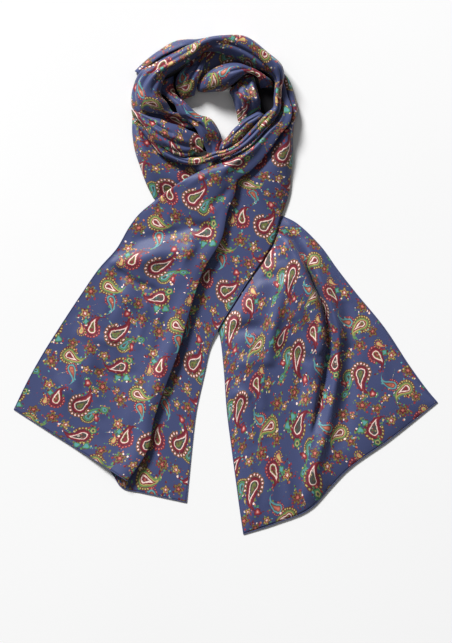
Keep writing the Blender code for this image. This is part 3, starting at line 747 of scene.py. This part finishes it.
def new_group(name, tree_type, *sockets):
    """Group with its sockets: what it is given, and its output node."""
    group = bpy.data.node_groups.new(name, tree_type)
    for way, kind, names in sockets:
        for socket in names:
            group.interface.new_socket(socket, in_out=way, socket_type="NodeSocket" + kind)
    return group, group.nodes.new("NodeGroupInput").outputs, group.nodes.new("NodeGroupOutput")


def motif_group(shape, *results):
    """Group for one kind of motif."""
    return new_group(
        shape, "ShaderNodeTree", ("INPUT", "Vector", ("Place", "Centre")),
        ("INPUT", "Float", SIZES[shape]), ("OUTPUT", "Float", results),
    )


def polar_place(group, given):
    """Distance and direction from a motif's centre, which comes back in every repeat."""
    offset = vector(group, "SUBTRACT", given["Place"], given["Centre"])
    offset = vector(group, "WRAP", offset, (0.5, 0.5, 0.5), (-0.5, -0.5, -0.5))
    distance = put(group, "ShaderNodeVectorMath", ((0, offset),), operation="LENGTH").outputs["Value"]
    x, y, _ = put(group, "ShaderNodeSeparateXYZ", ((0, offset),)).outputs
    return distance, reckon(group, "SUBTRACT", reckon(group, "ARCTAN2", y, x), given["Turn"])


def bead_ratio(group, given, distance, direction, outline):
    """Beads in a ring round an outline: 0 at each bead's middle, 1 on its own outline."""
    ring = reckon(group, "MULTIPLY", outline, given["Ring"])
    step = reckon(group, "DIVIDE", 2 * math.pi, given["Beads"])
    share = reckon(group, "FRACT", reckon(group, "DIVIDE", direction, step))
    share = reckon(group, "SUBTRACT", share, 0.5)
    sideways = reckon(group, "MULTIPLY", reckon(group, "MULTIPLY", share, step), ring)
    outward = reckon(group, "SUBTRACT", distance, ring)
    square = reckon(group, "MULTIPLY", outward, outward)
    square = reckon(group, "MULTIPLY_ADD", sideways, sideways, square)
    return reckon(group, "DIVIDE", reckon(group, "SQRT", square), given["Bead"])


def boteh_group():
    """Drop with a curled tip: 0 at the middle of its bulb, 1 on its outline."""
    group, given, result = motif_group("boteh", "Ratio", "Bead ratio")
    distance, direction = polar_place(group, given)
    tip = reckon(group, "DIVIDE", given["Bulb"], reckon(group, "COSINE", given["Point"]))
    bend = reckon(group, "POWER", reckon(group, "DIVIDE", distance, tip), TIP_HOOK)
    straight = reckon(group, "SUBTRACT", direction, reckon(group, "MULTIPLY", bend, given["Curl"]))
    straight = reckon(group, "WRAP", straight, math.pi, -math.pi)
    from_tip = reckon(group, "ABSOLUTE", straight)
    taper = reckon(group, "MAXIMUM", reckon(group, "SUBTRACT", given["Point"], from_tip), 0.0)
    outline = reckon(group, "DIVIDE", given["Bulb"], reckon(group, "COSINE", taper))
    beadless = reckon(group, "LESS_THAN", from_tip, reckon(group, "MULTIPLY", given["Point"], BEADLESS_TIP))
    beads = bead_ratio(group, given, distance, straight, outline)
    feed(group, result, (
        ("Ratio", reckon(group, "DIVIDE", distance, outline)),
        ("Bead ratio", reckon(group, "ADD", beads, reckon(group, "MULTIPLY", beadless, FAR_OUTSIDE))),
    ))
    return group


def rosette_group():
    """Small flower with round petals: 0 at its middle, 1 on its outline."""
    group, given, result = motif_group("rosette", "Ratio")
    distance, direction = polar_place(group, given)
    wave = reckon(group, "COSINE", reckon(group, "MULTIPLY", direction, given["Petals"]))
    outline = reckon(group, "MULTIPLY_ADD", wave, given["Notch"], 1.0)
    outline = reckon(group, "MULTIPLY", outline, given["Radius"])
    feed(group, result, (("Ratio", reckon(group, "DIVIDE", distance, outline)),))
    return group


# Motifs in one repeat, from the lowest to the highest: centre, sizes and bands of colour, and the
# bands of the beads that only a drop has
MOTIFS = (
    # leaf beside the large drop, with a bud at its curl
    ((0.09, -0.15), (1.2, 0.068, 1.34, -0.9, 1.16, 22, 0.018), LEAF, OLIVE_BEAD),
    ((0.25, 0.03), (0.5, 0.05, 2, 0.2), LEAF),
    ((0.19, -0.11), (2.2, 0.042, 2, 0.4), BUD),
    # large drop, with its round tip
    ((-0.07, -0.09), (0.92, 0.107, 1.28, 1, 1.13, 17, 0.028), LARGE_DROP, CREAM_BEAD),
    ((-0.06, 0.225), (0.3, 0.05, 3, 0.12), BUD),
    # leaf under the lying drop, and the lying drop
    ((-0.33, 0.28), (-0.75, 0.058, 1.32, -0.9, 1.2, 16, 0.014), SMALL_DROP, RED_BEAD),
    ((-0.45, 0.41), (-0.15, 0.086, 1.25, 1, 1.12, 19, 0.022), LYING_DROP, OLIVE_BEAD),
    # drop that points down
    ((0.2, 0.61), (-2.3, 0.094, 1.23, -1, 1.13, 17, 0.024), HANGING_DROP, OLIVE_BEAD),
    ((0.25, 0.73), (0, 0.052, 5, 0.1), GREEN_RING),
    # upright drop, with a crescent and a sprig
    ((-0.36, -0.17), (1.85, 0.086, 1.23, -0.95, 1.13, 16, 0.022), UPRIGHT_DROP, RED_BEAD),
    ((-0.46, -0.26), (1.9, 0.038, 1.3, 0.7, 1.3, 12, 0.014), CRESCENT, OLIVE_BEAD),
    ((-0.53, -0.04), (0.2, 0.068, 5, 0.3), FLOWER),
    ((-0.47, -0.12), (0.4, 0.04, 4, 0.2), TEAL_DOT),
    # sprigs of small flowers between them
    ((0.13, 0.27), (0.3, 0.07, 5, 0.3), DULL_FLOWER),
    ((0.06, 0.18), (0.9, 0.042, 4, 0.3), FLOWER),
    ((-0.49, -0.43), (0.5, 0.063, 5, 0.3), DULL_FLOWER),
    ((-0.25, -0.39), (0.9, 0.072, 5, 0.3), DULL_FLOWER),
    ((-0.06, -0.38), (0.2, 0.058, 5, 0.3), FLOWER),
    ((0.4, 0.24), (0.6, 0.076, 6, 0.3), DULL_FLOWER),
    ((0.31, 0.32), (0.2, 0.04, 5, 0.3), FLOWER),
    ((0, 0.41), (0.1, 0.064, 5, 0.3), DULL_FLOWER),
    ((-0.16, 0.36), (0.4, 0.05, 5, 0.3), FLOWER),
    ((0.33, 0.52), (0, 0.05, 3, 0.2), TEAL_DOT),
    ((0.23, 0.47), (0.7, 0.046, 3, 0.2), TEAL_DOT),
)
# Place of a motif's outline on its ramp of colours, and how soon it fades past it
OUTLINE_STOP = 0.9
OUTLINE_FADE = 0.02
# How late a drop bends toward its tip: its curl is how far the tip has turned
TIP_HOOK = 2.8
# Share of a drop's taper that has no beads round it, and the ratio that stands for no bead
BEADLESS_TIP = 0.6
FAR_OUTSIDE = 9.0
# Place of the first repeat's middle on the cloth
PRINT_START = (0.65, 0.57, 0.0)
# How far the print's lines waver, in repeats, and how fine that is
LINE_WAVER = 0.042
WAVER_SCALE = 14.0
# Specks of the fringe round each motif and of a drop's inside: how fine they are, their size in
# their own spacing, how far out from the outline they reach, how far they cover, and their colours
SPECK_SCALE = 31.0
SPECK_SIZE = 0.45
FRINGE = {"boteh": 1.24, "rosette": 1.42}
INSIDE = 0.4
INSIDE_COVER = 0.5
SPECKS = (
    (0, RED), (0.22, CREAM), (0.28, DARK_RED), (0.44, OLIVE), (0.58, ORANGE), (0.64, GREEN),
    (0.76, YELLOW), (0.83, DARK_RED), (0.95, TEAL),
)
# Spacing of the twill's ribs and their depth in metres
RIB_SPACING = 0.8
RIB_DEPTH = 0.0001


def laid_over(tree, below, above, share):
    inputs = ((0, share), (6, below), (7, above))
    return put(tree, "ShaderNodeMix", inputs, data_type="RGBA").outputs[2]


def motif_colours(tree, below, ratio, bands):
    """A motif over the colour below it, in bands from its middle to its outline."""
    stops = [(place * OUTLINE_STOP, colour) for place, colour in bands]
    stops.append((OUTLINE_STOP + OUTLINE_FADE, (*bands[-1][1][:3], 0.0)))
    colours = ramp(tree, ratio, stops)
    return laid_over(tree, below, colours["Color"], colours["Alpha"])


def new_material(name):
    """Empty material and its tree."""
    material = bpy.data.materials.new(name)
    material.use_nodes = True
    return material, material.node_tree


def finish_silk(tree, colour, place, rib, roughness, sheen):
    """Silk in a colour, with the fine diagonal ribs of the weave."""
    x, y, _ = put(tree, "ShaderNodeSeparateXYZ", ((0, place),)).outputs
    ribs = reckon(tree, "MULTIPLY", reckon(tree, "ADD", x, y), 2 * math.pi * REPEAT / RIB_SPACING)
    ribs = reckon(tree, "SINE", ribs)
    bump = put(tree, "ShaderNodeBump", (("Strength", rib), ("Distance", RIB_DEPTH), ("Height", ribs)))
    feed(tree, tree.nodes["Principled BSDF"], (
        ("Base Color", colour), ("Normal", bump.outputs[0]), ("Roughness", roughness),
        ("Sheen Weight", sheen), ("Sheen Roughness", 0.4), ("Specular IOR Level", 0.3),
    ))


def printed_silk_material():
    """Navy twill with the print on it, which follows the cloth by its own map."""
    material, tree = new_material("printed_silk")
    place = put(tree, "ShaderNodeUVMap", uv_map="print").outputs[0]
    waver = put(tree, "ShaderNodeTexNoise", (
        ("Vector", place), ("Scale", WAVER_SCALE), ("Detail", 4.0), ("Roughness", 0.72),
    )).outputs["Color"]
    waver = vector(tree, "SUBTRACT", waver, (0.5, 0.5, 0.0))
    waver = vector(tree, "MULTIPLY", waver, (LINE_WAVER, LINE_WAVER, 0.0))
    from_start = vector(tree, "SUBTRACT", vector(tree, "ADD", place, waver), PRINT_START)
    cells = put(tree, "ShaderNodeTexVoronoi", (("Vector", place), ("Scale", SPECK_SCALE))).outputs
    speck = reckon(tree, "LESS_THAN", cells["Distance"], SPECK_SIZE)
    chance = put(tree, "ShaderNodeSeparateXYZ", ((0, cells["Color"]),)).outputs[0]
    speck_colour = ramp(tree, chance, SPECKS)["Color"]
    speck_colour.node.color_ramp.interpolation = "CONSTANT"
    colour = clouded(tree, place, 3.0, 2.0, toned(NAVY, 0.9), toned(NAVY, 1.1))
    groups = {"boteh": boteh_group(), "rosette": rosette_group()}
    for centre, sizes, bands, *bead_bands in MOTIFS:
        shape = "boteh" if bead_bands else "rosette"
        motif = put(tree, "ShaderNodeGroup", (
            ("Place", from_start), ("Centre", (*centre, 0.0)), *zip(SIZES[shape], sizes),
        ), node_tree=groups[shape])
        ratio = motif.outputs["Ratio"]
        fringe = reckon(tree, "MULTIPLY", speck, reckon(tree, "LESS_THAN", ratio, FRINGE[shape]))
        colour = laid_over(tree, colour, speck_colour, fringe)
        if bead_bands:
            colour = motif_colours(tree, colour, motif.outputs["Bead ratio"], *bead_bands)
        colour = motif_colours(tree, colour, ratio, bands)
        if bead_bands:
            inside = reckon(tree, "MULTIPLY", speck, reckon(tree, "LESS_THAN", ratio, INSIDE))
            inside = reckon(tree, "MULTIPLY", inside, INSIDE_COVER)
            colour = laid_over(tree, colour, speck_colour, inside)
    finish_silk(tree, colour, place, rib=0.2, roughness=0.5, sheen=0.1)
    return material


def plain_silk_material(name, colour, roughness, sheen):
    """Silk of one colour, with no print that shows."""
    material, tree = new_material(name)
    place = put(tree, "ShaderNodeTexCoord").outputs["Object"]
    place = put(tree, "ShaderNodeMapping", (("Vector", place), ("Scale", (10.0, 10.0, 10.0)))).outputs[0]
    colour = clouded(tree, place, 4.0, 3.0, toned(colour, 0.8), toned(colour, 1.2))
    finish_silk(tree, colour, place, rib=0.3, roughness=roughness, sheen=sheen)
    return material


printed_silk = printed_silk_material()
hem_silk = plain_silk_material("hem_silk", NAVY, roughness=0.5, sheen=0.3)
# The hidden turns get near-black silk: painted shade, standing in for the navy printed cloth lying deep in
# shade between the bands
painted_shade_silk = plain_silk_material("painted_shade_silk", colour_from_steps(15, 13, 18), roughness=0.9, sheen=0.0)

# Creases of the tails: height, half width and the line in plan
LEFT_TAIL_CREASES = (
    (1.6, 5, (60, 176), (30, 164), (-10, 144), (-50, 124)),
    (-2, 5, (66, 182), (44, 152), (10, 122), (-30, 84)),
    # hump and dips across the upper panel
    (-3.6, 7, (-116, 54), (-60, 66), (-12, 76)),
    (5.4, 12, (-156, 20), (-94, 34), (-34, 44)),
    (3, 8, (-43, 50), (-48, 20), (-54, -6)),
    (-3.6, 4.5, (-150, 26), (-113, 2), (-76, -12)),
    (2.4, 8, (-140, -6), (-104, -26), (-78, -44)),
    (-2.6, 7, (-70, 82), (-38, 74), (-8, 62)),
    # soft ridge along the pleat, with a dip on its left
    (4.6, 6.5, (-22, 44), (-40, -8), (-58, -60), (-79, -115)),
    (5.4, 7, (-62, -60), (-80, -118), (-96, -178), (-109, -228)),
    (-3, 7, (-52, 4), (-74, -52), (-98, -140), (-117, -197)),
    # shallow folds of the lower panel
    (2.2, 9, (-185, -40), (-170, -95), (-160, -150)),
    (2, 8, (-225, -95), (-200, -130), (-150, -165)),
    (-1.6, 6, (-150, -20), (-130, -80), (-128, -140)),
    (1.6, 6, (-190, -60), (-150, -72), (-112, -66)),
    (-1.4, 5, (-170, -108), (-136, -118), (-108, -110)),
    (1.5, 6, (-214, -118), (-186, -152), (-150, -190)),
    (1.4, 5, (-92, 6), (-100, -40), (-112, -84)),
    (-1.4, 5, (-128, 30), (-132, -10), (-150, -50)),
    (1.5, 5, (-60, 108), (-36, 96), (-14, 84)),
    (-1.8, 5, (-200, -70), (-182, -104), (-176, -140)),
)
RIGHT_TAIL_CREASES = (
    (-7, 4.6, (96, 24), (114, -18), (124, -46), (129, -78), (124, -120), (112, -190)),
    (7, 6, (106, 36), (130, -22), (143, -60), (142, -110), (130, -178), (100, -276)),
    (-5, 10, (150, -22), (158, -80), (156, -130), (146, -210)),
    (6, 8, (76, 12), (70, -20), (60, -62), (54, -104)),
    (-4.4, 8, (2, -60), (26, -56), (50, -54)),
    (-5, 9, (84, -44), (101, -100), (94, -150)),
    (4.6, 8, (14, 52), (40, 62), (64, 64)),
    (-3.4, 7, (72, -76), (92, -90), (112, -96)),
    (11, 7, (72, 62), (87, 31), (96, 8), (105, -13), (114, -31), (120, -52), (122, -90)),
    (1.8, 6, (150, 0), (168, -50), (176, -100)),
    (-2, 6, (186, -60), (204, -96), (214, -130)),
    (1.8, 6, (60, -190), (78, -240), (84, -280)),
    (-1.8, 6, (20, -100), (40, -150), (44, -210)),
    (1.8, 5, (26, -210), (40, -260), (36, -296)),
    (1.6, 6, (8, -104), (40, -96), (64, -100)),
    (-2, 5, (140, 10), (162, -18), (190, -52)),
    (2.6, 8, (30, -88), (46, -120), (50, -160)),
    (2.4, 8, (34, -180), (52, -230), (60, -280)),
    (2.6, 10, (180, -30), (196, -80), (206, -130)),
    (-2.4, 6, (30, 2), (52, 8), (80, 12)),
    (2.6, 6, (0, -140), (18, -138), (34, -142)),
)

# Stretches of the loop: node, table, rows, print's place and way, cut of what shows, and creases
# along it: start and end along, start and end across, height, and half width
BANDS = (
    ("main_loop", MAIN_LOOP, 260, (20, 0), 1, (0.046, 0.56), (
        (0.03, 0.2, 0.5, 0.5, -1.2, 1.2),
        (0.18, 0.5, 0.4, 0.34, -3.6, 1.6),
        (0.22, 0.54, 0.66, 0.62, -3.4, 1.5),
        (0.22, 0.5, 0.53, 0.5, 1.4, 1.8),
        (0.46, 0.66, 0.26, 0.4, -3.6, 2.2),
        (0.5, 0.72, 0.55, 0.6, -3.4, 2.2),
        (0.5, 0.68, 0.76, 0.8, -2.6, 2),
        (0.62, 0.86, 0.33, 0.28, -3.6, 3),
        (0.66, 0.9, 0.62, 0.5, -4.2, 3.2),
        (0.7, 0.93, 0.84, 0.76, -3.6, 2.8),
        (0.68, 0.88, 0.47, 0.4, 2, 3),
        (0.84, 0.985, 0.86, 0.62, -5.5, 5),
        (0.86, 0.97, 0.3, 0.25, 2, 2.5),
        (0.9, 0.995, 0.45, 0.4, -2.5, 2),
    )),
    ("outer_fold", OUTER_FOLD, 60, (0, 0), -1, (0.027, 0.097), (
        (0.05, 0.97, 0.2, 0.2, -4.5, 2.2),
        (0.2, 0.8, 0.6, 0.55, -1.4, 1.2),
    )),
    ("inner_left", INNER_LEFT, 80, (40, 20), 1, (0.031, 0.124), (
        (0.02, 0.6, 0.36, 0.5, -2.6, 1.8),
        (0.45, 0.97, 0.7, 0.6, -3.6, 2.6),
        (0.6, 0.95, 0.3, 0.3, 1.2, 1.8),
    )),
    ("front_fold", FRONT_FOLD, 80, (60, 50), 1, (0.036, 0.105), (
        (0.02, 0.6, 0.28, 0.42, -3.4, 2.6),
        (0.25, 0.95, 0.62, 0.6, -3, 2.4),
        (0.35, 0.8, 0.48, 0.46, 2, 2.6),
        (0.5, 0.9, 0.84, 0.8, -2.2, 1.8),
    )),
    ("inner_front", INNER_FRONT, 50, (10, 70), 1, (0.027, 0.068), (
        (0.05, 0.95, 0.38, 0.45, -2.4, 1.5),
        (0.2, 0.9, 0.7, 0.72, -1.8, 1.3),
    )),
    ("inner_right", INNER_RIGHT, 60, (80, 10), -1, (0.046, 0.073), (
        (0, 0.85, 0.24, 0.3, -3.4, 2.6),
        (0.05, 0.9, 0.5, 0.52, -3.4, 2.4),
        (0.1, 0.7, 0.66, 0.64, 1.4, 2),
    )),
    ("inner_top", INNER_TOP, 90, (30, 30), -1, (0.036, 0.116), (
        (0.06, 0.6, 0.26, 0.36, -2.8, 2.2),
        (0.1, 0.7, 0.74, 0.8, -2.6, 2.2),
        (0.4, 0.97, 0.6, 0.5, -3.2, 2.2),
    )),
    ("inner_valley", INNER_VALLEY, 50, (70, 80), -1, (0.03, 0.077), ()),
    ("twisted_fold", TWISTED_FOLD, 60, (15, 45), 1, (0.036, 0.067), (
        (0, 0.85, 0.34, 0.42, -3.6, 2.2),
        (0.05, 0.9, 0.66, 0.7, -3.2, 2.2),
        (0.05, 0.7, 0.14, 0.16, 1.8, 1.8),
    )),
)


def layered_ring(name, turns, material):
    """Hidden turns as one closed ring on a flat underside, with grooves between its layers."""
    table = np.asarray(HIDDEN_LAYERS, dtype=float)
    table = np.vstack((table, table[0] + (360.0, 0.0, 0.0)))
    angles = np.linspace(0.0, 360.0, turns, endpoint=False)
    edge = [(0.0, 0.0)]
    for layer in range(HIDDEN_LAYER_COUNT):
        for share, groove in LAYER_EDGE:
            inset = HIDDEN_LAYER_INSET * layer + HIDDEN_LAYER_GROOVE * groove
            edge.append((inset, (layer + share) * HIDDEN_TOP / HIDDEN_LAYER_COUNT))
    insets, heights = np.transpose(edge)
    share = np.linspace(0.0, 1.0, TOP_STEPS)[1:-1]
    points = []
    for angle, (inner, outer) in zip(np.radians(angles), smooth(table[:, 0], table[:, 1:], angles)):
        inner += INNER_WAVE * np.sin(INNER_WAVES * angle)
        outer += OUTER_WAVE * np.sin(OUTER_WAVES * angle + 1)
        top_inner, top_outer = inner + insets[-1], outer - insets[-1]
        radius = (inner + insets, top_inner + share * (top_outer - top_inner), (outer - insets)[::-1])
        radius = np.concatenate(radius)
        dip = TOP_RIPPLE * (1 + np.sin(TOP_RIPPLES * share + TOP_SWAY * np.sin(3 * angle)))
        z = np.concatenate((heights, HIDDEN_TOP - dip, heights[::-1]))
        x, y = RING_CENTRE
        points.append(np.stack((x + radius * np.cos(angle), y + radius * np.sin(angle), z), axis=-1))
    points = np.array(points)
    corner = np.arange(points[..., 0].size).reshape(turns, -1)
    after = np.roll(corner, -1, axis=1)
    faces = (after, np.roll(after, -1, axis=0), np.roll(corner, -1, axis=0), corner)
    faces = np.stack(faces, axis=-1).reshape(-1, 4)
    return new_piece(name, points.reshape(-1, 3), faces.tolist(), material=material)


def tube(tree, line, radius, sides):
    """Closed round tube along a line."""
    profile = put(tree, "GeometryNodeCurvePrimitiveCircle", (("Resolution", sides), ("Radius", radius)))
    return put(tree, "GeometryNodeCurveToMesh", (
        ("Curve", line), ("Profile Curve", profile.outputs[0]), ("Fill Caps", True),
    )).outputs[0]


def rolled_hem_tree(material):
    """Rolled hem along a line of points, with slanted stitches over it."""
    tree, given, result = new_group(
        "rolled_hem", "GeometryNodeTree", ("INPUT", "Geometry", ("Line",)),
        ("INPUT", "Float", HEM_SIZES), ("OUTPUT", "Geometry", ("Hem",)),
    )
    path = put(tree, "GeometryNodeMeshToCurve", (("Mesh", given["Line"]),)).outputs[0]
    roll = tube(tree, path, given["Roll radius"], 8)
    places = put(tree, "GeometryNodeCurveToPoints", (
        ("Curve", path), ("Length", given["Stitch spacing"]),
    ), mode="LENGTH").outputs
    reach = reckon(tree, "MULTIPLY", given["Stitch length"], 0.5)
    back = reckon(tree, "MULTIPLY", reach, -1.0)
    side = reckon(tree, "MULTIPLY", given["Roll radius"], STITCH_LIFT)
    start, end = (
        put(tree, "ShaderNodeCombineXYZ", ((0, way), (1, side), (2, way))).outputs[0]
        for way in (back, reach)
    )
    thread = put(tree, "GeometryNodeCurvePrimitiveLine", (("Start", start), ("End", end))).outputs[0]
    thread = tube(tree, thread, given["Thread radius"], 5)
    stitches = put(tree, "GeometryNodeInstanceOnPoints", (
        ("Points", places["Points"]), ("Instance", thread), ("Rotation", places["Rotation"]),
    )).outputs[0]
    stitches = put(tree, "GeometryNodeRealizeInstances", ((0, stitches),)).outputs[0]
    shape = put(tree, "GeometryNodeJoinGeometry", ((0, roll), (0, stitches))).outputs[0]
    shape = put(tree, "GeometryNodeSetShadeSmooth", ((0, shape),)).outputs[0]
    shape = put(tree, "GeometryNodeSetMaterial", (("Geometry", shape), ("Material", material))).outputs[0]
    feed(tree, result, ((0, shape),))
    return tree


# Sizes of the rolled hem in metres, and how far out on the roll its stitches lie
HEM_SIZES = {
    "Roll radius": 0.0006,
    "Stitch spacing": 0.006,
    "Stitch length": 0.0012,
    "Thread radius": 0.00012,
}
STITCH_LIFT = 1.02
HEM = rolled_hem_tree(hem_silk)


def hem(name, grid, left_start, right_end):
    """Rolled hem down a tail's left edge, along its end and up its right edge, as its own mesh."""
    points = np.concatenate((grid[left_start:, 0], grid[-1, 1:], grid[-2:right_end:-1, -1]))
    guide = new_piece(name + "_line", points, edges=[(i, i + 1) for i in range(len(points) - 1)])
    shape = guide.modifiers.new("Hem", "NODES")
    shape.node_group = HEM
    for socket in HEM.interface.items_tree:
        if socket.name in HEM_SIZES:
            shape[socket.identifier] = HEM_SIZES[socket.name]
    bpy.context.view_layer.update()
    evaluated = guide.evaluated_get(bpy.context.evaluated_depsgraph_get())
    mesh = bpy.data.meshes.new_from_object(evaluated)
    mesh.name = name
    piece = new_object(name, mesh)
    bpy.data.objects.remove(guide, do_unlink=True)
    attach(piece, "root")
    return piece


def lay(piece, node):
    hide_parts(node)
    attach(piece, "root")


# Rows along each tail, columns on each side of the right tail's crease, and the rows from which
# each tail's rolled hem shows at its left and its right edge
TAIL_ROWS = 220
CREASE_LEFT, CREASE_RIGHT = 50, 30
LEFT_HEM_ROWS = (90, 100)
RIGHT_HEM_ROWS = (90, 80)

grid, places = left_tail_cloth(TAIL_ROWS)
left_tail = grid_piece("left_tail_silk", grid, ((0, places),), printed_silk)
left_hem = hem("left_tail_hem", grid, *LEFT_HEM_ROWS)
lay(left_tail, "left_tail")

grid, inner, outer = right_tail_cloth(TAIL_ROWS, CREASE_LEFT, CREASE_RIGHT)
right_tail = grid_piece("right_tail_silk", grid, ((0, inner), (CREASE_LEFT - 1, outer)), printed_silk)
right_hem = hem("right_tail_hem", grid, *RIGHT_HEM_ROWS)
lay(right_tail, "right_tail")

for node, table, rows, start, flow, flat, creases in BANDS:
    grid = roll_cloth(table, rows, creases)
    band = grid_piece(node + "_silk", grid, ((0, roll_print(grid, start, flow)),), printed_silk)
    lay(band, node)

# Hidden turns, coloured with the near-black painted shade silk
ring = layered_ring("hidden_layers_silk", turns=180, material=painted_shade_silk)
lay(ring, "hidden_layers")

# Pale floor, in millimetres like the tables
FLOOR_HALF = 4000
pale_floor, tree = new_material("pale_floor")
place = put(tree, "ShaderNodeTexCoord").outputs["Object"]
shade = clouded(tree, place, 1.5, 2.0, (0.86, 0.86, 0.86, 1.0), (0.9, 0.9, 0.9, 1.0))
feed(tree, tree.nodes["Principled BSDF"], (
    ("Base Color", shade), ("Roughness", 0.9), ("Specular IOR Level", 0.1),
))
corners = [(x * FLOOR_HALF, y * FLOOR_HALF, 0) for x, y in ((-1, -1), (1, -1), (1, 1), (-1, 1))]
floor = new_piece("floor", corners, [(0, 1, 2, 3)], material=pale_floor)

# Soft light from a window at the top left, and the even light of a pale room
WINDOW = Vector((-7.0, 12.0, 8.4))
lamp = bpy.data.lights.new("window_light", "AREA")
lamp.shape = "RECTANGLE"
lamp.size, lamp.size_y = 5.2, 3.2
lamp.energy = 4580.0
light = new_object("window_light", lamp)
light.location = WINDOW
light.rotation_euler = (-WINDOW).to_track_quat("-Z", "Y").to_euler()
light.visible_camera = False
world = bpy.data.worlds.new("studio")
world.use_nodes = True
feed(world.node_tree, world.node_tree.nodes["Background"], (
    ("Color", (1.0, 1.0, 1.0, 1.0)), ("Strength", 0.195),
))
bpy.context.scene.world = world
bpy.context.scene.view_settings.view_transform = "Standard"

# The photograph looks straight down, and its frame is 0.81 m high on the floor
VIEW_HEIGHT = 0.81
VIEW_CENTRE = (0.0004, -0.0469)
CAMERA_HEIGHT = 6.0
SENSOR = 36.0
lens = bpy.data.cameras.new("camera")
lens.sensor_width = SENSOR
lens.lens = SENSOR * CAMERA_HEIGHT / VIEW_HEIGHT
camera = new_object("camera", lens)
camera.location = (*VIEW_CENTRE, CAMERA_HEIGHT)
bpy.context.scene.camera = camera
